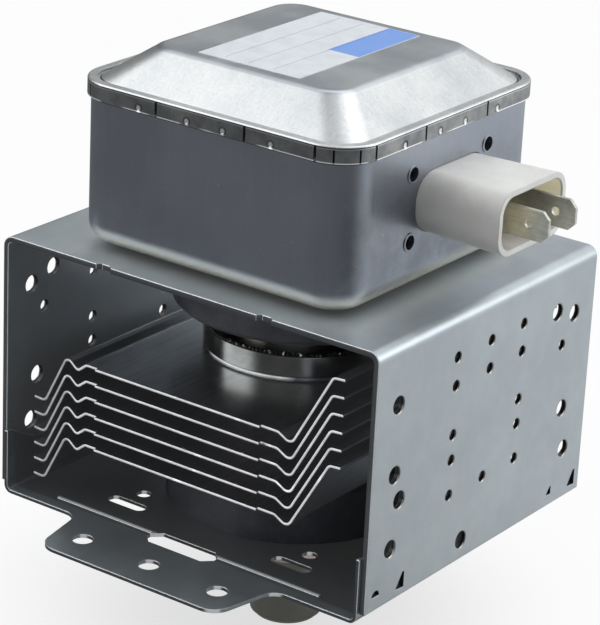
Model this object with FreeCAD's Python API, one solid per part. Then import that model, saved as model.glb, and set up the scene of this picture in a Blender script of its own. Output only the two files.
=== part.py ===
import FreeCAD, Part
import math
import os

# Magnetron of a domestic microwave oven, shown as it stands in its oven: antenna down.
# Origin: the antenna axis where it leaves the underside of the mounting plate.
# +Z points to the filter box, -Y is the open front with the visible mounting tab,
# +X is the side with the push-on terminals. All sizes are in millimetres.

# General fits
sheet_fit = 0.05          # between nested sheet parts
slide_fit = 0.2           # between parts that are slipped over each other

# Yoke: one folded strip with a top and two side walls
yoke_width = 95.0
yoke_depth = 80.0
yoke_height = 55.7
yoke_sheet = 1.2
yoke_bend = 2.4           # outer radius of the fold
yoke_bore_r = 10.6        # hole in the top for the tube's neck
notch_width = 3.8         # shallow dips in the front and rear edges of the top
notch_ramp = 0.9          # length of the sloping ends
notch_depth = 0.8
notch_places = (-20.7, 20.0)
big_hole_r = 2.0
small_hole_r = 1.3

# Wall holes, as shares of the yoke's depth from its middle and of its height from below
small_hole_columns = (-0.151, 0.154)
small_hole_rows = (0.293, 0.433, 0.533, 0.725, 0.835)
middle_column = 0.003
middle_rows = (0.293, 0.725, 0.835)
single_small_hole = (0.354, 0.662)
big_holes = ((-0.404, 0.767), (-0.404, 0.499), (-0.378, 0.391), (-0.405, 0.212), (-0.079, 0.077),
             (0.320, 0.808), (0.406, 0.770), (0.380, 0.391), (0.404, 0.212))

# Mounting plate: a shallow channel that closes the yoke from below
plate_sheet = 0.8
plate_bend = 1.8
plate_drop = 2.2          # the plate's underside lies this far below the yoke's walls
plate_overhang = 0.8      # plate front edge in front of the yoke
flange_fit = 0.12         # between its side flanges and the yoke's walls
flange_height = 14.2      # at the corners, from the plate's underside
flange_low = 10.0         # between the corners
flange_slope = 8.0        # length of the sloping part of the flange's edge
flange_corner = 1.2       # from the plate's edge to where the flange has its full height
tab_root_width = 51.8
tab_tip_width = 45.8
tab_reach = 15.4          # from the plate's front edge to the tab's outer edge
tab_corner_r = 4.5
tab_neck_r = 3.6
tab_hole_r = 2.25
tab_hole_pitch = 17.6
tab_hole_inset = 7.6      # from the tab's outer edge
rib_length = 68.8         # pressed rib across the root of the tab
rib_width = 0.9
rib_height = 0.35
rib_inset = 4.1           # from the plate's front edge
centre_slot_length = 17.6 # slot with cut-off corners, between the two halves of the rib
centre_slot_width = 5.1
centre_slot_corner = 2.0
centre_slot_inset = 2.95  # from the plate's front edge to the slot's middle
side_slot_length = 9.6
side_slot_width = 3.2
side_slot_pitch = 43.4
side_slot_y = 29.2
plate_hole_r = 1.6
plate_hole_pitch = 44.0
plate_hole_y = 23.3
plate_bore_r = 10.2
stake_width = 2.8
stake_height = 3.2
stake_z = 3.9             # above the plate's underside
stake_places = (-0.351, 0.461)      # as shares of the yoke's depth
small_stake_width = 1.8
small_stake_height = 1.7
small_stake_z = 4.7
small_stake_place = 0.347
half_stake_r = 1.3
half_stake_place = -0.457
half_stake_z = 5.1

# Vacuum tube
anode_r = 19.3
anode_wall = 2.8
vane_count = 10
vane_sheet = 2.0
vane_height = 9.5
vane_tip_r = 4.6
strap_ring_r = (7.8, 9.4)
strap_ring_wall = 0.7
strap_ring_height = 0.8
pole_hole_r = 5.0
pole_sheet = 1.7
pole_cone = 4.2
vessel_sheet = 0.8
vessel_flange_r = 18.2
vessel_shoulder_r = 15.5
vessel_rise = 4.7         # from the vessel's flange to the magnet it presses on
skirt_wall = 1.0          # steel skirt of the upper vessel around the anode's end
skirt_gap = 0.1           # between the skirt and the collar of the top fin
neck_r = 9.3
neck_rise = 3.1           # above the yoke
neck_bottom = -3.0
stem_r = 7.8
stem_height = 12.0        # above the neck
stem_socket = 2.0         # the stem reaches this far into the neck
rod_r = 0.8
rod_offset = 3.2
rod_rise = 5.0            # above the stem
filament_r = 2.2
filament_wall = 0.6
filament_height = 9.0
shield_r = 3.6
shield_height = 1.2
lead_r = 1.25
lead_offset = 6.4
antenna_ceramic_r = 8.2
antenna_ceramic_wall = 2.0
antenna_ceramic_bottom = -13.0
antenna_ring_height = 1.2
antenna_cap_r = 7.85
antenna_cap_sheet = 0.6
antenna_length = 28.3
antenna_tip_r = 2.3
antenna_tip_height = 1.6
gasket_r = 15.8
gasket_height = 4.0

# Magnets
magnet_r = 27.0
magnet_bore_r = 10.3
magnet_height = 11.7
magnet_chamfer = 1.0

# Cooling fins
fin_count = 6
fin_sheet = 0.5
fin_top_gap = 5.0         # flat middle of the top fin below the anode's end
fin_bottom_gap = 3.2      # flat middle of the lowest fin above the anode's other end
fin_bend = 1.6
fin_half_width = 39.3
fin_inset = 0.8           # fin edge behind the yoke's front edge
fin_nose = 0.7            # the flat middle reaches this much further forward
fin_nose_left = -22.4
fin_nose_right = 19.9
fin_bead_left = -25.4     # end of the flat, from where the stiffening beads start
fin_bead_right = 24.0
fin_valley_left = -27.7
fin_ridge_left = -30.6
fin_foot_left = -36.4
fin_valley_right = 27.3
fin_knee_right = 36.6
fin_valley_depth = 1.8
fin_ridge_height = 0.5
fin_left_drop = 11.1      # the left wing ends this far below the flat
fin_left_squeeze = 0.978  # the wings are pushed closer on the left than on the right
fin_right_rise = 15.1     # the right wing ends this far above the flat
fin_right_squeeze = 1.033
collar_height = 0.35
collar_wall = 0.5

# Filter box and its crimped lid
box_size = 68.4
box_corner_r = 8.4
box_sheet = 0.6
box_foot_r = 4.6          # rounded lower edge of the drawn box
box_lift = 0.8            # the box stands on a pressed seat of this height
box_seat_r = 24.0
box_height = 34.6
box_bore_r = 10.8
lid_overlap = 0.8         # the lid stands out this far around the box
lid_sheet = 0.5
lid_skirt = 3.6           # height of the crimped rim
lid_rim_r = 0.45
lid_groove_width = 0.35   # between the rim and the dome
lid_groove_depth = 0.6
dome_inset = 10.7         # flat top of the dome inside the box's outline
dome_height = 6.5         # above the rim
dome_edge_r = 2.4
dome_corner_r = 5.5
slit_width = 0.6
slit_height = 3.1
slit_places = (-26.5, -9.6, 12.4)

# Label on the dome
label_width = 25.2
label_length = 42.0
label_sheet = 0.1
label_x = -0.6

# Feed-through capacitor in its white housing
plug_y = 2.0
plug_rise = 17.9          # above the box's floor
housing_width = 24.8
housing_height = 12.7
housing_corner_r = 5.6
housing_flare = 0.8       # the open end is this much higher
housing_taper = 0.5       # and this much narrower
housing_end_corner_r = 4.6
housing_wall = 1.2
housing_reach = 19.3      # from the box's outer wall to the open end
housing_back = 4.0        # behind the box's outer wall
potting_front = 8.0       # depth of potting in front of the box's outer wall
tab_blade_width = 6.35
tab_blade_sheet = 0.8
tab_blade_reach = 26.3    # from the box's outer wall to the blade's tip
tab_blade_hole_r = 0.95
tab_blade_hole_inset = 4.5
tab_blade_chamfer = 1.5
tab_blade_pitch = 10.0
stub_width = 3.0
stub_back = 10.2
capacitor_back = 8.0      # body behind the box's outer wall
capacitor_margin = 2.0
flange_plate_margin = 3.1 # around the rivets
flange_plate_sheet = 1.0
rivet_gap_y = 1.9         # rivet pitch beyond the housing's width and height
rivet_gap_z = 1.5
rivet_shift = -0.7        # of the rivets to the housing's middle
rivet_r = 1.75
rivet_bore_r = 1.5
rivet_head_r = 1.95
rivet_head = 0.2

# Choke coils
coil_r = 4.1
coil_bore_r = 2.7
coil_length = 24.0
coil_x = 0.0
coil_y = 16.0             # distance of the coils' axes from the plug's centre plane
core_length = 21.0
wire_r = 0.65
wire_bend = 2.0

# Places worked out from the sizes above
half_width = yoke_width / 2
half_depth = yoke_depth / 2
wall_bottom = plate_drop
yoke_top = wall_bottom + yoke_height
yoke_under = yoke_top - yoke_sheet
lower_magnet_top = plate_sheet + magnet_height
upper_magnet_bottom = yoke_under - magnet_height
anode_bottom = lower_magnet_top + vessel_sheet
anode_top = upper_magnet_bottom - vessel_rise - vessel_sheet
mid_z = (anode_bottom + anode_top) / 2
neck_top = yoke_top + neck_rise
stem_top = neck_top + stem_height
rod_top = stem_top + rod_rise
fin_top = anode_top - fin_top_gap
fin_pitch = (fin_top - anode_bottom - fin_bottom_gap) / (fin_count - 1)
fin_left_pitch = fin_pitch * fin_left_squeeze
fin_right_pitch = fin_pitch * fin_right_squeeze
collar_top = fin_top + fin_sheet / 2 + collar_height
box_bottom = yoke_top + box_lift
box_top = box_bottom + box_height
box_half = box_size / 2
lid_size = box_size + 2 * lid_overlap
dome_size = box_size - 2 * dome_inset
plug_z = box_bottom + plug_rise
rivet_pitch_y = housing_width + rivet_gap_y
rivet_pitch_z = housing_height + rivet_gap_z
rim_top = box_top + lid_sheet
dome_top = rim_top + dome_height
plate_edge = half_depth + plate_overhang
tab_edge = plate_edge + tab_reach

axis_x = FreeCAD.Vector(1, 0, 0)
axis_y = FreeCAD.Vector(0, 1, 0)
axis_z = FreeCAD.Vector(0, 0, 1)


def point(x, y, z):
    return FreeCAD.Vector(x, y, z)


def save(shape, node):
    shape.exportStep("parts/" + node + ".step")


def cylinder(radius, bottom, top, x=0.0, y=0.0):
    return Part.makeCylinder(radius, top - bottom, point(x, y, bottom))


def tube(outer, inner, bottom, top, x=0.0, y=0.0):
    return cylinder(outer, bottom, top, x, y).cut(cylinder(inner, bottom, top, x, y))


def block(x0, x1, y0, y1, z0, z1):
    return Part.makeBox(x1 - x0, y1 - y0, z1 - z0, point(x0, y0, z0))


def revolved(section):
    # Solid of revolution about Z from (radius, z) pairs
    corners = [point(radius, 0, z) for radius, z in section]
    face = Part.Face(Part.makePolygon(corners + corners[:1]))
    return face.revolve(point(0, 0, 0), axis_z, 360)


def rounded_edges(points, radii):
    # Straight runs joined by tangent arcs; radii[i] rounds points[i + 1]
    edges = []
    start = points[0]
    for index in range(1, len(points) - 1):
        corner = points[index]
        back = (points[index - 1] - corner).normalize()
        ahead = (points[index + 1] - corner).normalize()
        radius = radii[index - 1]
        half = back.getAngle(ahead) / 2
        inward = (back + ahead).normalize()
        centre = corner + inward * (radius / math.sin(half))
        first = corner + back * (radius / math.tan(half))
        last = corner + ahead * (radius / math.tan(half))
        if (first - start).Length > 1e-6:
            edges.append(Part.LineSegment(start, first).toShape())
        edges.append(Part.Arc(first, centre - inward * radius, last).toShape())
        start = last
    edges.append(Part.LineSegment(start, points[-1]).toShape())
    return edges


def offset_line(points, distance):
    # Mitred offset of an open line of (x, z) pairs, to the left of its direction
    moved = []
    count = len(points)
    for index in range(count):
        normals = []
        for a, b in ((index - 1, index), (index, index + 1)):
            if a >= 0 and b < count:
                dx = points[b][0] - points[a][0]
                dz = points[b][1] - points[a][1]
                length = math.hypot(dx, dz)
                normals.append((-dz / length, dx / length))
        if len(normals) == 1:
            normals = normals * 2
        dot = normals[0][0] * normals[1][0] + normals[0][1] * normals[1][1]
        scale = distance / (1 + dot)
        x = points[index][0] + (normals[0][0] + normals[1][0]) * scale
        z = points[index][1] + (normals[0][1] + normals[1][1]) * scale
        moved.append((x, z))
    return moved


def bent_strip(points, radii, sheet, y0, y1):
    # Sheet folded along Y: points are its middle line, radii its bends on that line
    sides = []
    for side in (1, -1):
        shifted = offset_line(points, side * sheet / 2)
        bends = []
        for index, radius in enumerate(radii):
            ax = points[index + 1][0] - points[index][0]
            az = points[index + 1][1] - points[index][1]
            bx = points[index + 2][0] - points[index + 1][0]
            bz = points[index + 2][1] - points[index + 1][1]
            turn = 1 if ax * bz - az * bx > 0 else -1
            bends.append(radius - turn * side * sheet / 2)
        corners = [point(x, y0, z) for x, z in shifted]
        sides.append((corners, rounded_edges(corners, bends)))
    ends = []
    for index in (0, -1):
        ends.append(Part.LineSegment(sides[0][0][index], sides[1][0][index]).toShape())
    edges = sides[0][1] + sides[1][1] + ends
    wire = Part.Wire(Part.sortEdges(edges)[0])
    return Part.Face(wire).extrude(point(0, y1 - y0, 0))


def rounded_rect(width, height, radius, centre, along, up):
    edges = []
    spots = []
    for sa, sb, first in ((1, -1, 0), (1, 1, 1), (-1, 1, 0), (-1, -1, 1)):
        ca = sa * (width / 2 - radius)
        cb = sb * (height / 2 - radius)
        low = (ca, cb + sb * radius)
        side = (ca + sa * radius, cb)
        middle = (ca + sa * radius * math.sqrt(0.5), cb + sb * radius * math.sqrt(0.5))
        order = (low, middle, side) if first == 0 else (side, middle, low)
        spots.append([centre + along * a + up * b for a, b in order])
    for index, arc in enumerate(spots):
        edges.append(Part.Arc(arc[0], arc[1], arc[2]).toShape())
        following = spots[(index + 1) % 4][0]
        if (following - arc[2]).Length > 1e-6:
            edges.append(Part.LineSegment(arc[2], following).toShape())
    return Part.Wire(edges)


def rounded_block(width, depth, radius, bottom, top, y=0.0):
    wire = rounded_rect(width, depth, radius, point(0, y, bottom), axis_x, axis_y)
    return Part.Face(wire).extrude(point(0, 0, top - bottom))


def plug_section(width, height, radius, x):
    return rounded_rect(width, height, radius, point(x, plug_y, plug_z), axis_y, axis_z)


def slot_cutter(x, y, length, width, radius, bottom, top):
    wire = rounded_rect(length, width, radius, point(x, y, bottom), axis_x, axis_y)
    return Part.Face(wire).extrude(point(0, 0, top - bottom))


def wire_sweep(points, radii, radius):
    path = Part.Wire(rounded_edges(points, radii))
    direction = (points[1] - points[0]).normalize()
    circle = Part.Wire(Part.Circle(points[0], direction, radius).toShape())
    return path.makePipeShell([circle], True, False)


def wall_holes():
    # Holes of the right wall as (y from the yoke's middle, z above the walls' lower edge, radius)
    small = [(column, row) for column in small_hole_columns for row in small_hole_rows]
    small += [(middle_column, row) for row in middle_rows] + [single_small_hole]
    sized = [(share, small_hole_r) for share in small] + [(share, big_hole_r) for share in big_holes]
    return [(share[0] * yoke_depth, share[1] * yoke_height, radius) for share, radius in sized]


def make_yoke():
    mid = half_width - yoke_sheet / 2
    top = yoke_top - yoke_sheet / 2
    line = [(-mid, wall_bottom), (-mid, top), (mid, top), (mid, wall_bottom)]
    bend = yoke_bend - yoke_sheet / 2
    yoke = bent_strip(line, [bend, bend], yoke_sheet, -half_depth, half_depth)
    cutters = [cylinder(yoke_bore_r, yoke_under - 1, yoke_top + 1)]
    reach = yoke_sheet + 2
    for y, z, radius in wall_holes():
        # The left wall is the right one turned half round
        for side in (1, -1):
            start = point(side * (half_width - reach + 1), side * y, wall_bottom + z)
            cutters.append(Part.makeCylinder(radius, reach, start, axis_x * side))
    for side in (1, -1):
        cutters.append(half_stake_cutter(side))
        for share in stake_places:
            cutters.append(stake_cutter(side, share * yoke_depth, stake_z, stake_width, stake_height))
        cutters.append(stake_cutter(side, small_stake_place * yoke_depth, small_stake_z,
                                    small_stake_width, small_stake_height))
        for place in notch_places:
            cutters.append(notch_cutter(side, place))
    return yoke.cut(cutters)


def notch_cutter(end, place):
    # Dip with sloping ends; the rear edge has the front edge's dips turned half round
    wide = notch_width / 2
    narrow = wide - notch_ramp
    edge = half_depth - notch_depth
    outline = [(-narrow, edge), (narrow, edge), (wide, half_depth), (wide, half_depth + 1),
               (-wide, half_depth + 1), (-wide, half_depth)]
    corners = [point(end * (place + x), -end * y, yoke_under - 1) for x, y in outline]
    return Part.Face(Part.makePolygon(corners + corners[:1])).extrude(axis_z * (yoke_sheet + 2))


def stake_cutter(side, y, bottom, width, height):
    # Four-cornered opening that the staking punch leaves in a wall, narrow at its top
    x0 = side * (half_width - yoke_sheet - 0.5)
    outline = [(-width / 2, 0), (width / 2, -0.1 * height), (width / 2, height), (width / 4, height)]
    corners = [point(x0, side * (y + across), bottom + up) for across, up in outline]
    face = Part.Face(Part.makePolygon(corners + corners[:1]))
    return face.extrude(axis_x * side * (yoke_sheet + 1.0))


def half_stake_cutter(side):
    x0 = side * (half_width - yoke_sheet - 0.5)
    y = side * half_stake_place * yoke_depth
    ends = [point(x0, y - half_stake_r, half_stake_z), point(x0, y + half_stake_r, half_stake_z)]
    arc = Part.Arc(ends[0], point(x0, y, half_stake_z + half_stake_r), ends[1]).toShape()
    face = Part.Face(Part.Wire([arc, Part.LineSegment(ends[1], ends[0]).toShape()]))
    return face.extrude(axis_x * side * (yoke_sheet + 1.0))


def plate_outline():
    # Half outline in the plan, mirrored to the other side and end
    half = half_width
    quarter = [(half, 0.0), (half, plate_edge), (tab_root_width / 2, plate_edge),
               (tab_tip_width / 2, tab_edge), (0.0, tab_edge)]
    radii = [0.6, tab_neck_r, tab_corner_r]
    front = [point(x, -y, 0) for x, y in quarter]
    edges = []
    for sx in (1, -1):
        for sy in (1, -1):
            corners = [point(p.x * sx, p.y * sy, -1) for p in front]
            edges += rounded_edges(corners, radii)
    return Part.Face(Part.Wire(Part.sortEdges(edges)[0]))


def make_base_plate():
    outer = half_width - yoke_sheet - flange_fit
    mid = outer - plate_sheet / 2
    bend = plate_bend - plate_sheet / 2
    line = [(-mid, flange_height), (-mid, plate_sheet / 2), (mid, plate_sheet / 2), (mid, flange_height)]
    channel = bent_strip(line, [bend, bend], plate_sheet, -tab_edge - 1, tab_edge + 1)
    plate = channel.common(plate_outline().extrude(point(0, 0, flange_height + 2)))
    # Upper edge of the side flanges: high at the corners, lower between them
    high_y = plate_edge - flange_corner
    low_y = high_y - flange_slope
    trim = [point(-half_width, -plate_edge - 1, flange_height + 1),
            point(-half_width, plate_edge + 1, flange_height + 1),
            point(-half_width, high_y, flange_height),
            point(-half_width, low_y, flange_low),
            point(-half_width, -low_y, flange_low),
            point(-half_width, -high_y, flange_height)]
    above = Part.Face(Part.makePolygon(trim + trim[:1])).extrude(axis_x * yoke_width)
    plate = plate.cut(above)
    ribs = []
    cutters = [cylinder(plate_bore_r, -1, plate_sheet + 1)]
    rib_y = plate_edge - rib_inset
    gap = centre_slot_length / 2 - centre_slot_corner
    for end in (1, -1):
        for side in (1, -1):
            ribs.append(make_rib(side * gap, side * rib_length / 2, end * rib_y))
            cutters.append(slot_cutter(side * side_slot_pitch / 2, end * side_slot_y,
                                       side_slot_length, side_slot_width, side_slot_width / 2,
                                       -1, plate_sheet + 1))
            cutters.append(cylinder(plate_hole_r, -1, plate_sheet + 1,
                                    side * plate_hole_pitch / 2, end * plate_hole_y))
        cutters.append(centre_slot(end * (plate_edge - centre_slot_inset)))
        for step in (-1, 0, 1):
            cutters.append(cylinder(tab_hole_r, -1, plate_sheet + 1, step * tab_hole_pitch,
                                    end * (tab_edge - tab_hole_inset)))
    return plate.fuse(ribs).removeSplitter().cut(cutters)


def centre_slot(y):
    # Slot with its four corners cut off
    x = centre_slot_length / 2
    d = centre_slot_width / 2
    c = centre_slot_corner
    outline = [(-x, -d + c), (-x + c, -d), (x - c, -d), (x, -d + c),
               (x, d - c), (x - c, d), (-x + c, d), (-x, d - c)]
    corners = [point(px, y + py, -1) for px, py in outline]
    return Part.Face(Part.makePolygon(corners + corners[:1])).extrude(axis_z * (plate_sheet + 2))


def make_rib(x0, x1, y):
    # Pressed rib of half-oval section that stands on the plate's upper face
    section = [point(x0, y - rib_width / 2, plate_sheet - 0.2),
               point(x0, y - rib_width / 2, plate_sheet),
               point(x0, y - rib_width / 4, plate_sheet + rib_height),
               point(x0, y + rib_width / 4, plate_sheet + rib_height),
               point(x0, y + rib_width / 2, plate_sheet),
               point(x0, y + rib_width / 2, plate_sheet - 0.2)]
    return Part.Face(Part.makePolygon(section + section[:1])).extrude(axis_x * (x1 - x0))


def magnet(bottom, top, chamfer_at_top):
    ring = [(magnet_bore_r, bottom), (magnet_r, bottom), (magnet_r, top), (magnet_bore_r, top)]
    if chamfer_at_top:
        ring[2:3] = [(magnet_r, top - magnet_chamfer), (magnet_r - magnet_chamfer, top)]
    else:
        ring[1:2] = [(magnet_r - magnet_chamfer, bottom), (magnet_r, bottom + magnet_chamfer)]
    return revolved(ring)


def make_vanes():
    vanes = []
    inner = anode_r - anode_wall
    for index in range(vane_count):
        vane = block(vane_tip_r, inner - 0.1, -vane_sheet / 2, vane_sheet / 2,
                     mid_z - vane_height / 2, mid_z + vane_height / 2)
        vane.rotate(point(0, 0, 0), axis_z, 360.0 * index / vane_count)
        vanes.append(vane)
    return Part.Compound(vanes)


def make_strap_rings():
    rings = []
    for inner in strap_ring_r:
        outer = inner + strap_ring_wall
        top = mid_z + vane_height / 2
        bottom = mid_z - vane_height / 2
        rings.append(tube(outer, inner, top, top + strap_ring_height))
        rings.append(tube(outer, inner, bottom - strap_ring_height, bottom))
    return Part.Compound(rings)


def pole_piece(outside, inward):
    # Funnel whose rim lies in the anode's end; inward is +1 for the lower one
    rim = anode_r - anode_wall - 0.05
    near = outside + inward * pole_sheet
    tip = near + inward * pole_cone
    section = [(pole_hole_r, outside + inward * 0.6), (pole_hole_r + 3.0, outside), (rim, outside),
               (rim, near), (rim - 4.0, near), (pole_hole_r + 1.6, tip), (pole_hole_r, tip)]
    return revolved(section)


def make_upper_vessel():
    # Skirt over the anode's end, then a stepped cup past the magnet and up to the stem
    step = upper_magnet_bottom
    sheet = vessel_sheet
    inner = anode_r + sheet_fit
    outer = anode_r + skirt_wall
    low = collar_top + skirt_gap
    high = anode_top + sheet
    section = [(outer - 0.3, low), (outer, low + 0.3), (outer, high - 0.5), (outer - 0.5, high),
               (vessel_shoulder_r, high), (vessel_shoulder_r, step),
               (neck_r, step), (neck_r, neck_top), (neck_r - sheet, neck_top),
               (neck_r - sheet, step - sheet), (vessel_shoulder_r - sheet, step - sheet),
               (vessel_shoulder_r - sheet, anode_top), (inner, anode_top), (inner, low)]
    return revolved(section)


def make_lower_vessel():
    section = [(vessel_flange_r, anode_bottom), (vessel_flange_r, lower_magnet_top),
               (neck_r, lower_magnet_top), (neck_r, neck_bottom), (neck_r - vessel_sheet, neck_bottom),
               (neck_r - vessel_sheet, anode_bottom)]
    return revolved(section)


def make_stem():
    low = neck_top - stem_socket
    bores = [cylinder(rod_r, low - 1, stem_top + 1, 0, side * rod_offset) for side in (1, -1)]
    return cylinder(stem_r, low, stem_top).cut(bores)


def make_stem_ring():
    # Metal ring that joins the ceramic stem to the vessel's neck
    section = [(stem_r, neck_top - stem_socket), (neck_r - vessel_sheet, neck_top - stem_socket),
               (neck_r - vessel_sheet, neck_top), (neck_r + 0.6, neck_top),
               (neck_r + 0.6, neck_top + 1.0), (stem_r, neck_top + 1.0)]
    return revolved(section)


def make_centre_rod():
    low = mid_z - filament_height / 2 - shield_height
    path = [point(0, 0, low), point(0, 0, anode_top + 6), point(0, -rod_offset, neck_top - 6),
            point(0, -rod_offset, rod_top)]
    return wire_sweep(path, [6.0, 6.0], rod_r)


def make_side_rod():
    return cylinder(rod_r, mid_z + filament_height / 2 + shield_height, rod_top, 0, rod_offset)


def end_shield(bottom):
    shield = cylinder(shield_r, bottom, bottom + shield_height)
    return shield.cut(cylinder(rod_r, bottom - 1, bottom + shield_height + 1))


def make_antenna_lead():
    start = mid_z - vane_height / 2 - strap_ring_height
    top = mid_z - vane_height / 2
    path = [point(lead_offset, 0, top), point(lead_offset, 0, start - 6), point(0, 0, 3),
            point(0, 0, -antenna_length + antenna_cap_sheet)]
    return wire_sweep(path, [4.0, 6.0], lead_r)


def make_antenna_ceramic():
    top = neck_bottom
    bottom = antenna_ceramic_bottom
    return tube(antenna_ceramic_r, antenna_ceramic_r - antenna_ceramic_wall, bottom, top)


def make_antenna_ring():
    # Thin ring that joins the lower neck to the antenna's ceramic
    return tube(neck_r, antenna_ceramic_r, neck_bottom - antenna_ring_height, neck_bottom)


def make_antenna_cap():
    low = -antenna_length
    r = antenna_cap_r
    sheet = antenna_cap_sheet
    tip = antenna_tip_r
    base = antenna_ceramic_bottom
    section = [(0, low - antenna_tip_height), (tip, low - antenna_tip_height), (tip, low),
               (r - 1.0, low), (r, low + 1.0), (r, base), (r - sheet, base),
               (r - sheet, low + 1.2), (r - 1.2, low + sheet), (0, low + sheet)]
    return revolved(section)


def fin_line(index):
    # Middle line of one fin, index 0 at the top. Its left wing hangs down, its right stands up
    flat = fin_top - index * fin_pitch
    left = fin_top - fin_left_drop - index * fin_left_pitch
    right = fin_top + fin_right_rise - index * fin_right_pitch
    low = flat - fin_valley_depth
    return [(-fin_half_width, left + 0.2), (fin_foot_left, left), (fin_ridge_left, flat + fin_ridge_height),
            (fin_valley_left, low), (fin_bead_left, flat), (fin_bead_right, flat),
            (fin_valley_right, low), (fin_knee_right, right), (fin_half_width, right + 0.2)]


def make_fin(index):
    edge = half_depth - fin_inset
    bends = [fin_bend, 1.2, 0.9, 1.2, fin_bend, fin_bend, 1.2]
    fin = bent_strip(fin_line(index), bends, fin_sheet, -edge, edge)
    flat = fin_top - index * fin_pitch
    low = flat - fin_sheet / 2
    high = flat + fin_sheet / 2
    for end in (-1, 1):
        y = sorted((end * edge, end * (edge + fin_nose)))
        fin = fin.fuse(block(fin_nose_left, fin_nose_right, y[0], y[1], low, high))
    collar = tube(anode_r + collar_wall, anode_r, low, high + collar_height)
    fin = fin.fuse(collar).removeSplitter()
    return fin.cut(cylinder(anode_r, low - 1, high + collar_height + 1))


def drawn_box(size, radius, bottom, top, foot):
    body = rounded_block(size, size, radius, bottom, top)
    low = [edge for edge in body.Edges if abs(edge.BoundBox.ZMax - bottom) < 1e-6]
    return body.makeFillet(foot, low)


def make_filter_box():
    outer = drawn_box(box_size, box_corner_r, box_bottom, box_top, box_foot_r)
    inner = drawn_box(box_size - 2 * box_sheet, box_corner_r - box_sheet, box_bottom + box_sheet,
                      box_top + 1, box_foot_r - box_sheet)
    box = outer.cut(inner)
    seat = cylinder(box_seat_r, yoke_top, box_bottom + 0.1)
    pocket = cylinder(box_seat_r - box_sheet, box_bottom, box_bottom + box_sheet + 0.1)
    box = box.fuse(seat).cut(pocket)
    cutters = [cylinder(box_bore_r, yoke_top - 1, box_bottom + 3)]
    wire = plug_section(housing_width + 2 * slide_fit, housing_height + 2 * slide_fit,
                        housing_corner_r + slide_fit, box_half - box_sheet - 1)
    cutters.append(Part.Face(wire).extrude(axis_x * (box_sheet + 2)))
    for y, z in rivet_places():
        start = point(box_half - box_sheet - 1, y, z)
        cutters.append(Part.makeCylinder(rivet_r, box_sheet + 2, start, axis_x))
    return box.cut(cutters).removeSplitter()


def dome(base, corner_r, inset):
    # Solid inside the dome's sheet at this inset: sloping sides, round edge, flat top
    low = rim_top - lid_groove_depth - inset
    high = dome_top - inset
    flat = dome_size - 2 * inset
    wires = [rounded_rect(base - 2 * inset, base - 2 * inset, corner_r, point(0, 0, low), axis_x, axis_y),
             rounded_rect(flat, flat, dome_corner_r, point(0, 0, high), axis_x, axis_y)]
    body = Part.makeLoft(wires, True, True)
    edges = [edge for edge in body.Edges if edge.BoundBox.ZMin > high - 1e-6]
    return body.makeFillet(dome_edge_r, edges)


def make_lid():
    # Skirt and rim over the box's edge, a narrow groove inside the box's wall, then the dome
    skirt_bottom = rim_top - lid_skirt
    corner = box_corner_r + (lid_size - box_size) / 2
    rim = rounded_block(lid_size, lid_size, corner, skirt_bottom, rim_top)
    top_edges = [edge for edge in rim.Edges if edge.BoundBox.ZMin > rim_top - 1e-6]
    rim = rim.makeFillet(lid_rim_r, top_edges)
    inside = lid_size - 2 * lid_sheet
    rim = rim.cut(rounded_block(inside, inside, corner - lid_sheet, skirt_bottom - 1, box_top))
    floor = rim_top - lid_groove_depth
    plug = box_size - 2 * (box_sheet + sheet_fit)
    rim = rim.fuse(rounded_block(plug, plug, box_corner_r - box_sheet, floor - lid_sheet, rim_top))
    groove = plug - 2 * lid_sheet
    groove_corner = box_corner_r - box_sheet - lid_sheet
    rim = rim.cut(rounded_block(groove, groove, groove_corner, floor, rim_top + 1))
    base = groove - 2 * lid_groove_width
    lid = rim.fuse(dome(base, groove_corner, 0.0)).cut(dome(base, groove_corner, lid_sheet))
    cutters = []
    half = lid_size / 2
    out = half + 1
    back = half - 2 * lid_sheet
    for place in slit_places:
        for side in (1, -1):
            x = sorted((side * back, side * out))
            across = (side * place - slit_width / 2, side * place + slit_width / 2)
            cutters.append(block(x[0], x[1], across[0], across[1],
                                 skirt_bottom - 1, skirt_bottom + slit_height))
            cutters.append(block(across[0], across[1], x[0], x[1],
                                 skirt_bottom - 1, skirt_bottom + slit_height))
    return lid.cut(cutters)


def make_label():
    half = label_width / 2
    return block(label_x - half, label_x + half, -label_length / 2, label_length / 2,
                 dome_top, dome_top + label_sheet)


def rivet_places():
    places = []
    for sy in (-1, 1):
        for sz in (-1, 1):
            y = plug_y + rivet_shift + sy * rivet_pitch_y / 2
            places.append((y, plug_z + sz * rivet_pitch_z / 2))
    return places


def blade_places():
    return [plug_y - tab_blade_pitch / 2, plug_y + tab_blade_pitch / 2]


def make_blade(y):
    tip = box_half + tab_blade_reach
    wide = tab_blade_width / 2
    thin = stub_width / 2
    root = box_half + potting_front - 3.0
    c = tab_blade_chamfer
    outline = [(box_half - stub_back, -thin), (root, -thin), (root, -wide), (tip - c, -wide),
               (tip, -wide + c), (tip, wide - c), (tip - c, wide), (root, wide), (root, thin),
               (box_half - stub_back, thin)]
    y0 = y - tab_blade_sheet / 2
    corners = [point(x, y0, plug_z + z) for x, z in outline]
    blade = Part.Face(Part.makePolygon(corners + corners[:1])).extrude(axis_y * tab_blade_sheet)
    hole = Part.makeCylinder(tab_blade_hole_r, tab_blade_sheet + 2,
                             point(tip - tab_blade_hole_inset, y0 - 1, plug_z), axis_y)
    return blade.cut(hole)


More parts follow.
